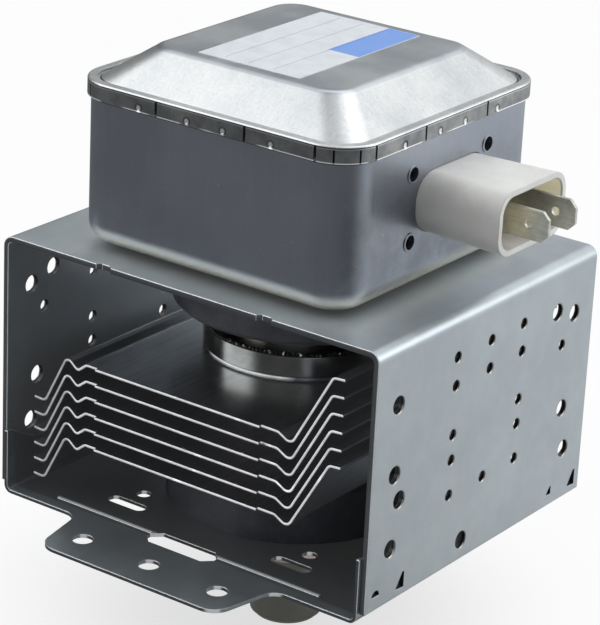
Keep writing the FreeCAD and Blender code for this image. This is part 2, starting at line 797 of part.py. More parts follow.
def make_housing():
    back = box_half - housing_back
    front = box_half + housing_reach
    end_width = housing_width - housing_taper
    end_height = housing_height + housing_flare
    bodies = []
    for wall, beyond in ((0.0, 0.0), (housing_wall, 1.0)):
        wide = housing_width - 2 * wall
        high = housing_height - 2 * wall
        corner = housing_corner_r - wall
        sections = [plug_section(wide, high, corner, back - beyond),
                    plug_section(wide, high, corner, box_half),
                    plug_section(end_width - 2 * wall, end_height - 2 * wall,
                                 housing_end_corner_r - wall, front + beyond)]
        bodies.append(Part.makeLoft(sections, True, True))
    return bodies[0].cut(bodies[1])


def make_capacitor(blades, housing):
    # Potted body: fills the housing and stands out behind the metal flange
    back = box_half - capacitor_back
    front = box_half + potting_front
    wire = plug_section(housing_width - 2 * housing_wall - 0.1, housing_height - 2 * housing_wall - 0.1,
                        housing_corner_r - housing_wall, back)
    body = Part.Face(wire).extrude(axis_x * (front - back))
    return body.cut([housing] + blades)


def make_capacitor_flange():
    face_x = box_half - box_sheet
    width = rivet_pitch_y + 2 * flange_plate_margin
    height = rivet_pitch_z + 2 * flange_plate_margin
    outer = plug_section(width, height, flange_plate_margin, face_x - flange_plate_sheet)
    plate = Part.Face(outer).extrude(axis_x * flange_plate_sheet)
    hole = plug_section(housing_width + 2 * sheet_fit, housing_height + 2 * sheet_fit,
                        housing_corner_r + sheet_fit, face_x - flange_plate_sheet - 1)
    cutters = [Part.Face(hole).extrude(axis_x * (flange_plate_sheet + 2))]
    for y, z in rivet_places():
        start = point(face_x - flange_plate_sheet - 1, y, z)
        cutters.append(Part.makeCylinder(rivet_r, flange_plate_sheet + 2, start, axis_x))
    return plate.cut(cutters)


def make_rivets():
    rivets = []
    back = box_half - box_sheet - flange_plate_sheet
    for y, z in rivet_places():
        shank = Part.makeCylinder(rivet_r, box_half - back, point(back, y, z), axis_x)
        head = Part.makeCylinder(rivet_head_r, rivet_head, point(box_half, y, z), axis_x)
        tail = Part.makeCylinder(rivet_head_r, rivet_head, point(back - rivet_head, y, z), axis_x)
        bore = Part.makeCylinder(rivet_bore_r, 6, point(back - 1, y, z), axis_x)
        rivets.append(shank.fuse([head, tail]).removeSplitter().cut(bore))
    return Part.Compound(rivets)


def coil_axis(side):
    return plug_y + side * coil_y


def make_coil(side, blade_y):
    # Winding as a tube of its outer shape, with a wire to the capacitor and one to the stem
    y = coil_axis(side)
    x0 = coil_x - coil_length / 2
    x1 = coil_x + coil_length / 2
    outer = Part.makeCylinder(coil_r, coil_length, point(x0, y, plug_z), axis_x)
    inner = Part.makeCylinder(coil_bore_r, coil_length, point(x0, y, plug_z), axis_x)
    start_y = y - side * (coil_r + coil_bore_r) / 2
    stub = box_half - stub_back
    plug_end = [point(x1 - 0.5, start_y, plug_z), point(x1 + 4.5, start_y, plug_z),
                point(stub - 4.0, blade_y, plug_z), point(stub, blade_y, plug_z)]
    rod_y = side * rod_offset
    stem_end = [point(x0 + 0.5, start_y, plug_z), point(x0 - 4.0, start_y, plug_z),
                point(x0 - 4.0, rod_y, plug_z), point(-rod_r, rod_y, plug_z)]
    coil = outer.cut(inner)
    for path in (plug_end, stem_end):
        coil = coil.fuse(wire_sweep(path, [wire_bend, wire_bend], wire_r))
    return coil.cut(cylinder(rod_r, plug_z - 3, plug_z + 3, 0, rod_y))


def make_core(side):
    start = point(coil_x - core_length / 2, coil_axis(side), plug_z)
    return Part.makeCylinder(coil_bore_r, core_length, start, axis_x)


def main():
    os.makedirs("parts", exist_ok=True)
    save(make_yoke(), "yoke")
    save(make_base_plate(), "mounting_plate")
    save(make_filter_box(), "filter_box")
    save(make_lid(), "filter_box_lid")
    save(make_label(), "blank_label")

    save(magnet(upper_magnet_bottom, yoke_under, False), "upper_magnet")
    save(magnet(plate_sheet, lower_magnet_top, True), "lower_magnet")
    for index in range(fin_count):
        save(make_fin(index), "cooling_fin_%d" % (index + 1))

    save(tube(anode_r, anode_r - anode_wall, anode_bottom, anode_top), "anode_cylinder")
    save(make_vanes(), "anode_vanes")
    save(make_strap_rings(), "strap_rings")
    save(pole_piece(anode_top, -1), "upper_pole_piece")
    lead_hole = cylinder(lead_r + 0.6, anode_bottom - 1, mid_z, lead_offset)
    save(pole_piece(anode_bottom, 1).cut(lead_hole), "lower_pole_piece")
    save(make_upper_vessel(), "upper_vessel")
    save(make_lower_vessel(), "lower_vessel")
    save(make_stem(), "stem_insulator")
    save(make_stem_ring(), "stem_ring")
    save(make_centre_rod(), "cathode_rod_centre")
    save(make_side_rod(), "cathode_rod_side")
    filament_bottom = mid_z - filament_height / 2
    filament_top = mid_z + filament_height / 2
    save(tube(filament_r, filament_r - filament_wall, filament_bottom, filament_top), "filament")
    save(end_shield(filament_top), "end_shield_upper")
    save(end_shield(filament_bottom - shield_height), "end_shield_lower")
    save(make_antenna_lead(), "antenna_lead")
    save(make_antenna_ceramic(), "antenna_insulator")
    save(make_antenna_ring(), "antenna_ring")
    save(make_antenna_cap(), "antenna_cap")
    save(tube(gasket_r, neck_r + slide_fit, -gasket_height, 0), "contact_gasket")

    blades = [make_blade(y) for y in blade_places()]
    housing = make_housing()
    save(blades[0], "push_on_tab_1")
    save(blades[1], "push_on_tab_2")
    save(housing, "capacitor_housing")
    save(make_capacitor(blades, housing), "feedthrough_capacitor")
    save(make_capacitor_flange(), "capacitor_flange")
    save(make_rivets(), "capacitor_rivets")
    for number, side in ((1, -1), (2, 1)):
        save(make_coil(side, blade_places()[number - 1]), "choke_coil_%d" % number)
        save(make_core(side), "choke_core_%d" % number)


main()
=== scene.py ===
import bpy
import math
from mathutils import Matrix, Vector


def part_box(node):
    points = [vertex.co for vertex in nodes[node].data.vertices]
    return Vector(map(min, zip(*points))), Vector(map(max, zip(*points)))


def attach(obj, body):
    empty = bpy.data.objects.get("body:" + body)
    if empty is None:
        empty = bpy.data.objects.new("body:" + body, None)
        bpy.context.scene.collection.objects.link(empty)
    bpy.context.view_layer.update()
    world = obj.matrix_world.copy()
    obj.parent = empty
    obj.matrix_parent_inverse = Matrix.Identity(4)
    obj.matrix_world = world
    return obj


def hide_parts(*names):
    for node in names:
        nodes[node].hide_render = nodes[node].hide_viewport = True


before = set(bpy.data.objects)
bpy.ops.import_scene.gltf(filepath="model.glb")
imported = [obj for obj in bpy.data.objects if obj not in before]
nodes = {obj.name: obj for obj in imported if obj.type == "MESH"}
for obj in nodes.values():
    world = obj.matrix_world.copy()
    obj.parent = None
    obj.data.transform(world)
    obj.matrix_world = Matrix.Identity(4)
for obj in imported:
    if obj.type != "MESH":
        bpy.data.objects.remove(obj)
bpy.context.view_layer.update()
mm = 0.001
fins = range(1, 7)
print("frame loaded")


# Shader maths

class Wire:
    # A socket in a node tree; Python operators on it add Math nodes
    def __init__(self, graph, socket):
        self.graph = graph
        self.socket = socket

    def math(self, operation, *others):
        values = {index: value for index, value in enumerate((self,) + others)}
        return self.graph.node("ShaderNodeMath", {"operation": operation}, values)

    def __add__(self, other):
        return self.math("ADD", other)

    def __radd__(self, other):
        return self.math("ADD", other)

    def __sub__(self, other):
        return self.math("SUBTRACT", other)

    def __rsub__(self, other):
        return (self * -1.0).math("ADD", other)

    def __mul__(self, other):
        return self.math("MULTIPLY", other)

    def __rmul__(self, other):
        return self.math("MULTIPLY", other)

    def __truediv__(self, other):
        return self.math("DIVIDE", other)

    def __rtruediv__(self, other):
        return self.math("POWER", -1.0) * other

    def __pow__(self, other):
        return self.math("POWER", other)

    def __rpow__(self, other):
        return self.graph.node("ShaderNodeMath", {"operation": "POWER"}, {0: other, 1: self})

    def over(self, low, high):
        # 0 below low, 1 above high, smooth between
        return self.graph.node("ShaderNodeMapRange", {"interpolation_type": "SMOOTHSTEP"},
                               {0: self, 1: low, 2: high, 3: 0.0, 4: 1.0})

    def past(self, edge, soft):
        # The same step with its middle at the edge
        return self.over(edge - soft, edge + soft)

    def within(self, low, high, soft):
        return self.past(low, soft) * (1.0 - self.past(high, soft))

    def away(self):
        return self.math("ABSOLUTE")


class Graph:
    def __init__(self, owner):
        owner.use_nodes = True
        self.tree = owner.node_tree
        self.tree.nodes.clear()

    def feed(self, socket, value):
        if isinstance(value, Wire):
            self.tree.links.new(value.socket, socket)
        else:
            socket.default_value = value

    def node(self, kind, settings=None, values=None, out=0):
        made = self.tree.nodes.new(kind)
        for key, value in (settings or {}).items():
            setattr(made, key, value)
        for key, value in (values or {}).items():
            self.feed(made.inputs[key], value)
        return Wire(self, made.outputs[out]) if len(made.outputs) else None

    def place(self):
        return self.node("ShaderNodeTexCoord", out="Object")

    def facing(self):
        return self.axes(self.node("ShaderNodeTexCoord", out="Normal"))

    def softEdge(self, radius):
        # The normal as it would be with edges of this radius
        return self.node("ShaderNodeBevel", {"samples": 4}, {"Radius": radius})

    def axes(self, vector):
        parts = self.node("ShaderNodeSeparateXYZ", {}, {0: vector})
        return [Wire(self, parts.socket.node.outputs[index]) for index in range(3)]

    def vector(self, operation, first, second, out=0):
        return self.node("ShaderNodeVectorMath", {"operation": operation}, {0: first, 1: second}, out)

    def mix(self, share, first, second):
        # Sockets 6, 7 and 2 are the Mix node's colours
        return self.node("ShaderNodeMix", {"data_type": "RGBA"}, {0: share, 6: first, 7: second}, 2)

    def noise(self, vector, scale, detail=3.0, rough=0.55):
        values = {"Vector": vector, "Scale": scale, "Detail": detail, "Roughness": rough}
        return self.node("ShaderNodeTexNoise", {"noise_dimensions": "3D"}, values, "Fac")

    def streaks(self, vector, stretch, detail=2.0):
        # Noise pulled out along the axes with the small numbers, in lines per metre
        return self.noise(self.vector("MULTIPLY", vector, stretch), 1.0, detail)


def colour(red, green, blue):
    # From a screen colour to the linear one that shaders take
    channels = []
    for value in (red, green, blue):
        share = value / 255
        channels.append(share / 12.92 if share < 0.04045 else ((share + 0.055) / 1.055) ** 2.4)
    return tuple(channels) + (1.0,)


black = colour(0, 0, 0)


def finishMaterial(graph, settings, base, roughness=None, height=None, heightSize=0.0, metal=None,
                   light=None):
    # The base colour, roughness, height, metal share and own light may vary over the surface
    values = {"Base Color": base, "IOR": 1.5}
    values["Metallic"] = settings["metallic"] if metal is None else metal
    values["Roughness"] = settings["roughness"] if roughness is None else roughness
    if light is not None:
        values["Emission Color"] = light
        values["Emission Strength"] = 1.0
    normal = graph.softEdge(settings["edge"]) if "edge" in settings else None
    if height is not None:
        bump = {"Height": height, "Distance": heightSize, "Strength": 1.0}
        if normal is not None:
            bump["Normal"] = normal
        normal = graph.node("ShaderNodeBump", {}, bump)
    if normal is not None:
        values["Normal"] = normal
    shader = graph.node("ShaderNodeBsdfPrincipled", {}, values)
    graph.node("ShaderNodeOutputMaterial", {}, {"Surface": shader})


def newMaterial(name):
    material = bpy.data.materials.new(name)
    return material, Graph(material)


# Materials

zinc = {
    "light": colour(186, 194, 198),
    "dark": colour(175, 183, 188),
    # colour of the painted highlight on the burrs of sheared edges
    "wearAndHighlight": colour(236, 238, 240),
    "roughness": 0.37,
    "edge": 0.35 * mm,
    "clouds": 48.0,                 # scales of the noises, per metre
    "smudges": 210.0,
    "grain": 3400.0,
    "grainHeight": 0.010 * mm,
    "insideX": 46.6 * mm,           # the inner faces lie within these planes
    "insideZ": 57.2 * mm,
    "insideLight": 0.012,           # stray light between the inner faces
    "yokeZ": 2.95 * mm,             # the plate lies below, the yoke above
    "bendZ": 54.5 * mm,
    "wallX": 46.4 * mm,
    "frontY": 39.65 * mm,
    "notchY": (39.10 * mm, 39.30 * mm),
    "boreY": 39.4 * mm,
    "ribZ": (0.98 * mm, 1.5 * mm),
    "ribY": 34.65 * mm,
    "ribEnd": 34.7 * mm,
    "ribLight": 0.05,
    "pressedZ": 0.86 * mm,
    "pressedEnd": 35.3 * mm,
    "cutShade": 0.68,
    "boreShade": 0.78,
    "rimLight": 0.42,
    "besideZ": 57.6 * mm,
    "besideReach": (35.0 * mm, 42.0 * mm),
    "besideLight": 0.022,
}
zincYoke = {
    "scratches": (1500.0, 60.0, 1500.0),
    "insideY": 42.0 * mm,           # how far from the middle the inside gets painted shade
    "inside": 0.62,                 # share of its lightness that the painted shade leaves
    "metal": 0.75,
}
zincPlate = {
    "scratches": (60.0, 1500.0, 1500.0),
    "insideY": 38.2 * mm,
    "inside": 0.42,
    "metal": 0.88,
}


def makeZinc(name, sheet):
    # Zinc-plated sheet: even and satin, cloudy, with a few rubbed scratches; painted shade inside
    material, g = newMaterial(name)
    place = g.place()
    x, y, z = g.axes(place)
    wide, deep = x.away(), y.away()
    nx, ny = g.facing()[:2]
    clouds = g.noise(place, zinc["clouds"], 4.0)
    smudges = g.noise(place, zinc["smudges"], 5.0, 0.65)
    grain = g.noise(place, zinc["grain"], 2.0)
    scratches = g.streaks(place, sheet["scratches"], 3.0).over(0.675, 0.72)
    base = g.mix((clouds * 0.6 + smudges * 0.4).over(0.36, 0.66), zinc["dark"], zinc["light"])
    # Painted shade on the inner faces
    within = (1.0 - wide.past(zinc["insideX"], 0.1 * mm)) * (1.0 - deep.past(sheet["insideY"], 0.6 * mm))
    within = within * (1.0 - z.past(zinc["insideZ"], 0.1 * mm))
    base = g.mix(within * (1.0 - sheet["inside"]) * (0.85 + clouds * 0.3), base, black)
    roughness = zinc["roughness"] + (clouds - 0.5) * 0.10 + (smudges - 0.5) * 0.08 - scratches * 0.08
    # Sheared edges get painted shade, with a painted highlight along their burred upper side
    high = z.past(zinc["yokeZ"], 0.05 * mm)
    ends = deep.past(zinc["frontY"], 0.05 * mm) + deep.within(*zinc["notchY"], 0.04 * mm)
    pressed = z.past(zinc["pressedZ"], 0.02 * mm) * (1.0 - wide.past(zinc["pressedEnd"], 0.1 * mm))
    ofYoke = high * ends * (1.0 - nx.away().over(0.30, 0.50))
    ofPlate = (1.0 - high) * (1.0 - pressed * 0.85) * 0.55
    cut = ny.away().over(0.50, 0.65)
    rounded = g.axes(g.softEdge(zinc["edge"]))
    burrGlint = (rounded[2].over(0.12, 0.45) + rounded[0].over(0.12, 0.45)).math("MINIMUM", 1.0)
    rim = cut * burrGlint * (ofYoke + ofPlate)
    base = g.mix(cut * zinc["cutShade"] * (1.0 - rim), base, black)
    # The walls of the vent holes get painted shade
    bore = wide.past(zinc["wallX"], 0.05 * mm) * (1.0 - deep.past(zinc["boreY"], 0.1 * mm))
    bore = bore * z.within(zinc["yokeZ"] - 0.05 * mm, zinc["bendZ"], 0.1 * mm)
    bore = bore * (1.0 - nx.away().over(0.45, 0.60))
    base = g.mix(bore * zinc["boreShade"], base, black)
    # Painted highlight on the burrs of the sheared edges
    base = g.mix(rim, base, zinc["wearAndHighlight"])
    # Painted light on the yoke beside the foot of the box, and a painted highlight on the pressed rib
    beside = z.past(zinc["besideZ"], 0.1 * mm)
    beside = beside * (1.0 - wide.math("MAXIMUM", deep).over(*zinc["besideReach"]))
    rib = z.within(*zinc["ribZ"], 0.06 * mm) * (1.0 - wide.past(zinc["ribEnd"], 0.1 * mm))
    rib = rib * deep.past(zinc["ribY"], 0.15 * mm)
    light = within * zinc["insideLight"] + rib * zinc["ribLight"]
    light = light + rim * zinc["rimLight"] + beside * zinc["besideLight"]
    finishMaterial(g, zinc, base, roughness, grain * 0.6 - scratches * 0.6, zinc["grainHeight"],
                   sheet["metal"], light)
    return material


drawn = {
    "metallic": 1.0,
    "light": colour(174, 180, 190),
    "dark": colour(164, 170, 181),
    "speck": colour(232, 234, 236),
    "rightShade": colour(60, 56, 50),
    "seamShade": colour(30, 31, 34),
    "foot": colour(206, 203, 192),
    "roughness": 0.33,
    "edge": 0.12 * mm,
    "clouds": 42.0,
    "smudges": 170.0,
    "specks": 1500.0,
    "height": 0.012 * mm,
    "footZ": (60.6 * mm, 64.0 * mm),
    "bandZ": (59.7 * mm, 62.0 * mm),
    "bandLight": 0.085,
    "rightShadeZ": (74.0 * mm, 91.0 * mm),
    "seamShadeZ": (89.75 * mm, 90.3 * mm),
}


def makeDrawnBox():
    # Drawn sheet: smooth walls with specks, painted shade on the side with the socket, a painted shadow
    # line under the lid, and a foot mottled by the die's radius that carries a painted highlight
    material, g = newMaterial("drawn_box_steel")
    place = g.place()
    z = g.axes(place)[2]
    nx = g.facing()[0]
    clouds = g.noise(place, drawn["clouds"], 4.0)
    smudges = g.noise(place, drawn["smudges"], 5.0, 0.65).over(0.36, 0.64)
    specks = g.noise(place, drawn["specks"], 2.0).over(0.70, 0.76)
    pulled = g.streaks(place, (900.0, 900.0, 40.0))
    mottle = g.streaks(place, (700.0, 700.0, 1900.0), 3.0)
    foot = 1.0 - z.over(*drawn["footZ"])
    # Painted shade on the side facing +X, where the socket is, weaker above it
    rightShade = nx.over(0.45, 0.85) * (1.0 - z.over(*drawn["rightShadeZ"]) * 0.8)
    rightShade = rightShade * (0.18 + clouds.over(0.40, 0.62) * 0.16 + smudges * 0.14)
    base = g.mix((clouds * 0.85 + pulled * 0.15).over(0.35, 0.65), drawn["dark"], drawn["light"])
    base = g.mix(rightShade, base, drawn["rightShade"])
    # Painted highlight: the foot is lighter and warmer
    base = g.mix(foot * (0.55 + mottle * 0.6), base, drawn["foot"])
    base = g.mix(specks * 0.35, base, drawn["speck"])
    # Painted shadow: a dark line under the lid's skirt
    base = g.mix(z.within(*drawn["seamShadeZ"], 0.15 * mm) * 0.75, base, drawn["seamShade"])
    roughness = drawn["roughness"] + (clouds - 0.5) * 0.10 + (pulled - 0.5) * 0.04 + foot * 0.06
    height = pulled * 0.12 + mottle * foot * 1.6 + specks * 0.4
    # Painted light: a glowing band round the foot's radius
    band = z.within(*drawn["bandZ"], 0.9 * mm) * (0.35 + mottle * 1.1) * drawn["bandLight"]
    finishMaterial(g, drawn, base, roughness, height, drawn["height"],
                   light=g.mix(band, black, drawn["foot"]))
    return material


lidFinish = {
    "metallic": 1.0,
    "light": colour(218, 219, 218),
    "dark": colour(190, 193, 196),
    "speck": colour(112, 112, 108),
    "darkening": colour(48, 51, 55),
    "top": colour(124, 142, 162),
    "spot": colour(236, 237, 238),
    "lip": colour(240, 241, 242),
    "seamShade": colour(34, 36, 38),
    "fold": colour(28, 29, 32),
    "roughness": 0.36,
    "edge": 0.15 * mm,
    "clouds": 60.0,
    "grain": 1900.0,
    "specks": 1250.0,
    "darkeningScale": 260.0,
    "height": 0.34 * mm,
    "slopeZ": (93.6 * mm, 99.7 * mm),
    "topZ": 99.8 * mm,
    "skirtZ": 93.0 * mm,
    "sideAt": 34.25 * mm,
    "dimples": (-16.8, -4.6, 4.3, 16.0),
    "dimpleZ": 91.1 * mm,
    "dimpleRadii": (0.35 * mm, 1.05 * mm),
    "spotLight": 0.06,
    "foldPlace": 30.2 * mm,
    "foldHalf": 0.18 * mm,
    "foldFrom": 31.2 * mm,
    "seamShadeZ": (93.24 * mm, 93.44 * mm),
    "lipZ": (90.408 * mm, 90.46 * mm),
    "lipLight": 0.16,
}


def pressMarks(x, y, z):
    # The crimping tool's round marks, four on each side of the skirt
    marks = []
    for along, out, turn in ((x, y, -1), (y, x, 1)):
        for mirror in (1, -1):
            side = (out * (mirror * turn)).past(lidFinish["sideAt"], 0.25 * mm)
            for place in lidFinish["dimples"]:
                across = along - place * mirror * mm
                reach = (across * across + (z - lidFinish["dimpleZ"]) ** 2.0).math("SQRT")
                marks.append((1.0 - reach.over(*lidFinish["dimpleRadii"])) * side)
    return sum(marks[1:], marks[0])


def cornerFolds(x, y):
    # Painted shade in lines where the skirt is folded over itself just before each corner
    folds = []
    low = lidFinish["foldPlace"] - lidFinish["foldHalf"]
    high = lidFinish["foldPlace"] + lidFinish["foldHalf"]
    for along, out in ((y, x), (x, y)):
        for side in (1, -1):
            line = (along * side).within(low, high, 0.04 * mm)
            folds.append(line * out.away().past(lidFinish["foldFrom"], 0.2 * mm))
    return sum(folds[1:], folds[0])


def makeLidSteel():
    # The draw left the slopes rough and speckled with short lines down them; the top is smooth
    material, g = newMaterial("drawn_lid_steel")
    place = g.place()
    x, y, z = g.axes(place)
    clouds = g.noise(place, lidFinish["clouds"], 4.0)
    grain = g.noise(place, lidFinish["grain"], 3.0, 0.65)
    pulledX = g.streaks(place, (1700.0, 380.0, 700.0), 3.0)
    pulledY = g.streaks(place, (380.0, 1700.0, 700.0), 3.0)
    acrossFront = (y.away() - x.away()).past(0.0, 1.5 * mm)
    pulled = pulledX * acrossFront + pulledY * (1.0 - acrossFront)
    slope = z.within(*lidFinish["slopeZ"], 0.4 * mm)
    lines = (pulled * 0.45 + grain * 0.55) * slope + clouds * (1.0 - slope)
    base = g.mix((clouds * 0.5 + lines * 0.5).over(0.34, 0.66), lidFinish["dark"], lidFinish["light"])
    specks = g.noise(place, lidFinish["specks"], 3.0, 0.7).over(0.645, 0.70)
    specks = specks + pulled.over(0.66, 0.72) * 0.7
    base = g.mix(specks * slope * 0.30, base, lidFinish["speck"])
    roughness = lidFinish["roughness"] + (clouds - 0.5) * 0.10 + (lines - 0.5) * 0.14
    hollow = pressMarks(x, y, z)
    skirt = 1.0 - z.past(lidFinish["skirtZ"], 0.1 * mm)
    fold = cornerFolds(x, y) * skirt
    # Painted highlight with painted light along the skirt's lower edge, in broken stretches
    lip = (1.0 - z.over(*lidFinish["lipZ"])) * g.noise(place, 85.0, 2.0).over(0.44, 0.50)
    darkening = g.noise(place, lidFinish["darkeningScale"], 5.0, 0.65).over(0.34, 0.66)
    # Painted highlight with painted light in the middle of each press mark
    spot = hollow.over(0.74, 0.96) * 0.85
    # The skirt is darker, in mottled patches
    base = g.mix(skirt * (0.40 + darkening * 0.20), base, lidFinish["darkening"])
    # Painted shade round each press mark
    base = g.mix(hollow.within(0.12, 0.50, 0.10) * 0.55, base, lidFinish["darkening"])
    base = g.mix(spot, base, lidFinish["spot"])
    # Painted shade: a dark line in the gap at the top of the skirt
    base = g.mix(z.within(*lidFinish["seamShadeZ"], 0.06 * mm) * 0.85, base, lidFinish["seamShade"])
    # Painted reflection: the top face is tinted blue-grey
    base = g.mix(z.past(lidFinish["topZ"], 0.05 * mm) * 0.27, base, lidFinish["top"])
    base = g.mix(lip, base, lidFinish["lip"])
    base = g.mix(fold, base, lidFinish["fold"])
    height = (lines * slope + grain * 0.1) * 0.035 - hollow
    finishMaterial(g, lidFinish, base, roughness, height, lidFinish["height"],
                   light=lip * lidFinish["lipLight"] + spot * lidFinish["spotLight"])
    return material


aluminium = {
    "metallic": 1.0,
    "light": colour(190, 193, 198),
    "dark": colour(166, 169, 175),
    "shearedHighlight": colour(238, 239, 240),
    "roughness": 0.24,
    "edge": 0.20 * mm,
    "clouds": 75.0,
    "nicks": 900.0,
    "glintNoise": 420.0,
    "burrs": 190.0,
    "height": 0.014 * mm,
    "shearedLight": 0.66,
    "strayLight": 0.006,
    "leftWingX": -29.9 * mm,
}


def makeAluminium():
    # Mill finish with rolling lines along Y; the sheared front and rear edges carry a painted highlight
    # and painted glints
    material, g = newMaterial("fin_aluminium")
    place = g.place()
    x = g.axes(place)[0]
    clouds = g.noise(place, aluminium["clouds"], 4.0)
    rolled = g.streaks(place, (1500.0, 40.0, 1500.0))
    nicks = g.noise(place, aluminium["nicks"], 3.0, 0.7)
    glintNoise = g.noise(place, aluminium["glintNoise"], 3.0, 0.7)
    burrGlint = g.noise(place, aluminium["burrs"], 2.0).over(0.64, 0.68)
    upwards = g.axes(g.softEdge(aluminium["edge"]))[2]
    shearedHighlight = g.facing()[1].away().over(0.80, 0.92) * upwards.over(-0.25, 0.25)
    base = g.mix((clouds * 0.5 + rolled * 0.5).over(0.35, 0.66), aluminium["dark"], aluminium["light"])
    # Painted highlight on the sheared front and rear edges
    base = g.mix(shearedHighlight, base, aluminium["shearedHighlight"])
    roughness = aluminium["roughness"] + (clouds - 0.5) * 0.12 + (rolled - 0.5) * 0.06
    roughness = roughness + shearedHighlight * 0.25
    # Painted light on the edges, stronger right of the left wing, with painted glints
    bright = shearedHighlight * (0.45 + x.past(aluminium["leftWingX"], 0.5 * mm) * 0.55)
    light = aluminium["shearedLight"] * (0.2 + glintNoise * 1.4) + burrGlint * 0.5
    light = bright * light + aluminium["strayLight"]
    finishMaterial(g, aluminium, base, roughness, rolled * 0.12 + nicks * 0.6, aluminium["height"],
                   1.0 - bright * 0.7, light)
    return material


nickel = {
    "metallic": 1.0,
    "light": colour(176, 175, 170),
    "dark": colour(150, 149, 143),
    "antenna": colour(160, 158, 148),
    "antennaDull": 0.16,
    "roughness": 0.15,
    "edge": 0.15 * mm,
    "height": 0.004 * mm,
}


def makeNickel(name, dull, tint):
    # Turned and plated: fine rings round the tube's axis
    material, g = newMaterial(name)
    place = g.place()
    clouds = g.noise(place, 120.0, 4.0)
    rings = g.streaks(place, (60.0, 60.0, 4200.0))
    base = g.mix((clouds * 0.8 + rings * 0.2).over(0.35, 0.66), nickel["dark"], nickel["light"])
    base = g.mix(dull * 4.0, base, tint)
    roughness = nickel["roughness"] + dull + (clouds - 0.5) * 0.10 + (rings - 0.5) * 0.06
    finishMaterial(g, nickel, base, roughness, rings, nickel["height"])
    return material


ferrite = {
    "metallic": 0.0,
    "light": colour(86, 87, 93),
    "dark": colour(60, 61, 67),
    "speck": colour(120, 120, 124),
    "roughness": 0.62,
    "edge": 0.25 * mm,
    "height": 0.05 * mm,
}


def makeFerrite():
    # Sintered: grainy, with pale rubbed specks
    material, g = newMaterial("ferrite")
    place = g.place()
    grain = g.noise(place, 3200.0, 3.0, 0.7)
    clouds = g.noise(place, 140.0, 4.0)
    specks = g.noise(place, 1400.0, 2.0).over(0.68, 0.76)
    base = g.mix((clouds * 0.6 + grain * 0.4).over(0.3, 0.7), ferrite["dark"], ferrite["light"])
    base = g.mix(specks * 0.35, base, ferrite["speck"])
    roughness = ferrite["roughness"] + (grain - 0.5) * 0.25
    finishMaterial(g, ferrite, base, roughness, grain, ferrite["height"])
    return material


copper = {
    "metallic": 1.0,
    "light": colour(214, 148, 112),
    "dark": colour(150, 88, 62),
    "roughness": 0.32,
    "edge": 0.15 * mm,
    "height": 0.012 * mm,
}


def makeCopper():
    # Bare copper with a brown bloom from the brazing oven
    material, g = newMaterial("copper")
    place = g.place()
    bloom = g.noise(place, 160.0, 5.0, 0.65)
    rings = g.streaks(place, (80.0, 80.0, 2600.0))
    base = g.mix(bloom.over(0.36, 0.66), copper["light"], copper["dark"])
    roughness = copper["roughness"] + (bloom - 0.5) * 0.30 + (rings - 0.5) * 0.10
    finishMaterial(g, copper, base, roughness, rings, copper["height"])
    return material


alumina = {
    "metallic": 0.0,
    "light": colour(236, 222, 218),
    "dark": colour(214, 196, 190),
    "roughness": 0.55,
    "edge": 0.3 * mm,
    "height": 0.02 * mm,
}


def makeAlumina():
    # Fired ceramic, faintly pink
    material, g = newMaterial("alumina")
    place = g.place()
    clouds = g.noise(place, 180.0, 4.0)
    grain = g.noise(place, 2400.0, 3.0, 0.7)
    base = g.mix((clouds * 0.6 + grain * 0.4).over(0.34, 0.68), alumina["dark"], alumina["light"])
    roughness = alumina["roughness"] + (grain - 0.5) * 0.2
    finishMaterial(g, alumina, base, roughness, grain, alumina["height"])
    return material


tungsten = {
    "metallic": 1.0,
    "light": colour(120, 120, 124),
    "dark": colour(78, 78, 84),
    "roughness": 0.42,
    "edge": 0.1 * mm,
    "height": 0.01 * mm,
}


def makeTungsten():
    # Drawn and sintered metal, dark, with lines along its length
    material, g = newMaterial("tungsten")
    place = g.place()
    lines = g.streaks(place, (4000.0, 4000.0, 260.0))
    base = g.mix(lines.over(0.35, 0.66), tungsten["dark"], tungsten["light"])
    roughness = tungsten["roughness"] + (lines - 0.5) * 0.3
    finishMaterial(g, tungsten, base, roughness, lines, tungsten["height"])
    return material


plastic = {
    "metallic": 0.0,
    "light": colour(218, 218, 215),
    "dark": colour(208, 207, 203),
    "cream": colour(238, 231, 200),
    "frontShade": colour(112, 108, 108),
    "roughness": 0.42,
    "edge": 0.35 * mm,
    "clouds": 130.0,
    "grain": 2800.0,
    "height": 0.012 * mm,
    "middleY": 2.0 * mm,
    "middleZ": 76.5 * mm,
    "wallY": 10.6 * mm,
    "wallZ": 4.6 * mm,
    "mouthX": 53.05 * mm,
    "insideLight": 0.22,
    "frontShadeZ": (71.0 * mm, 80.0 * mm),
}


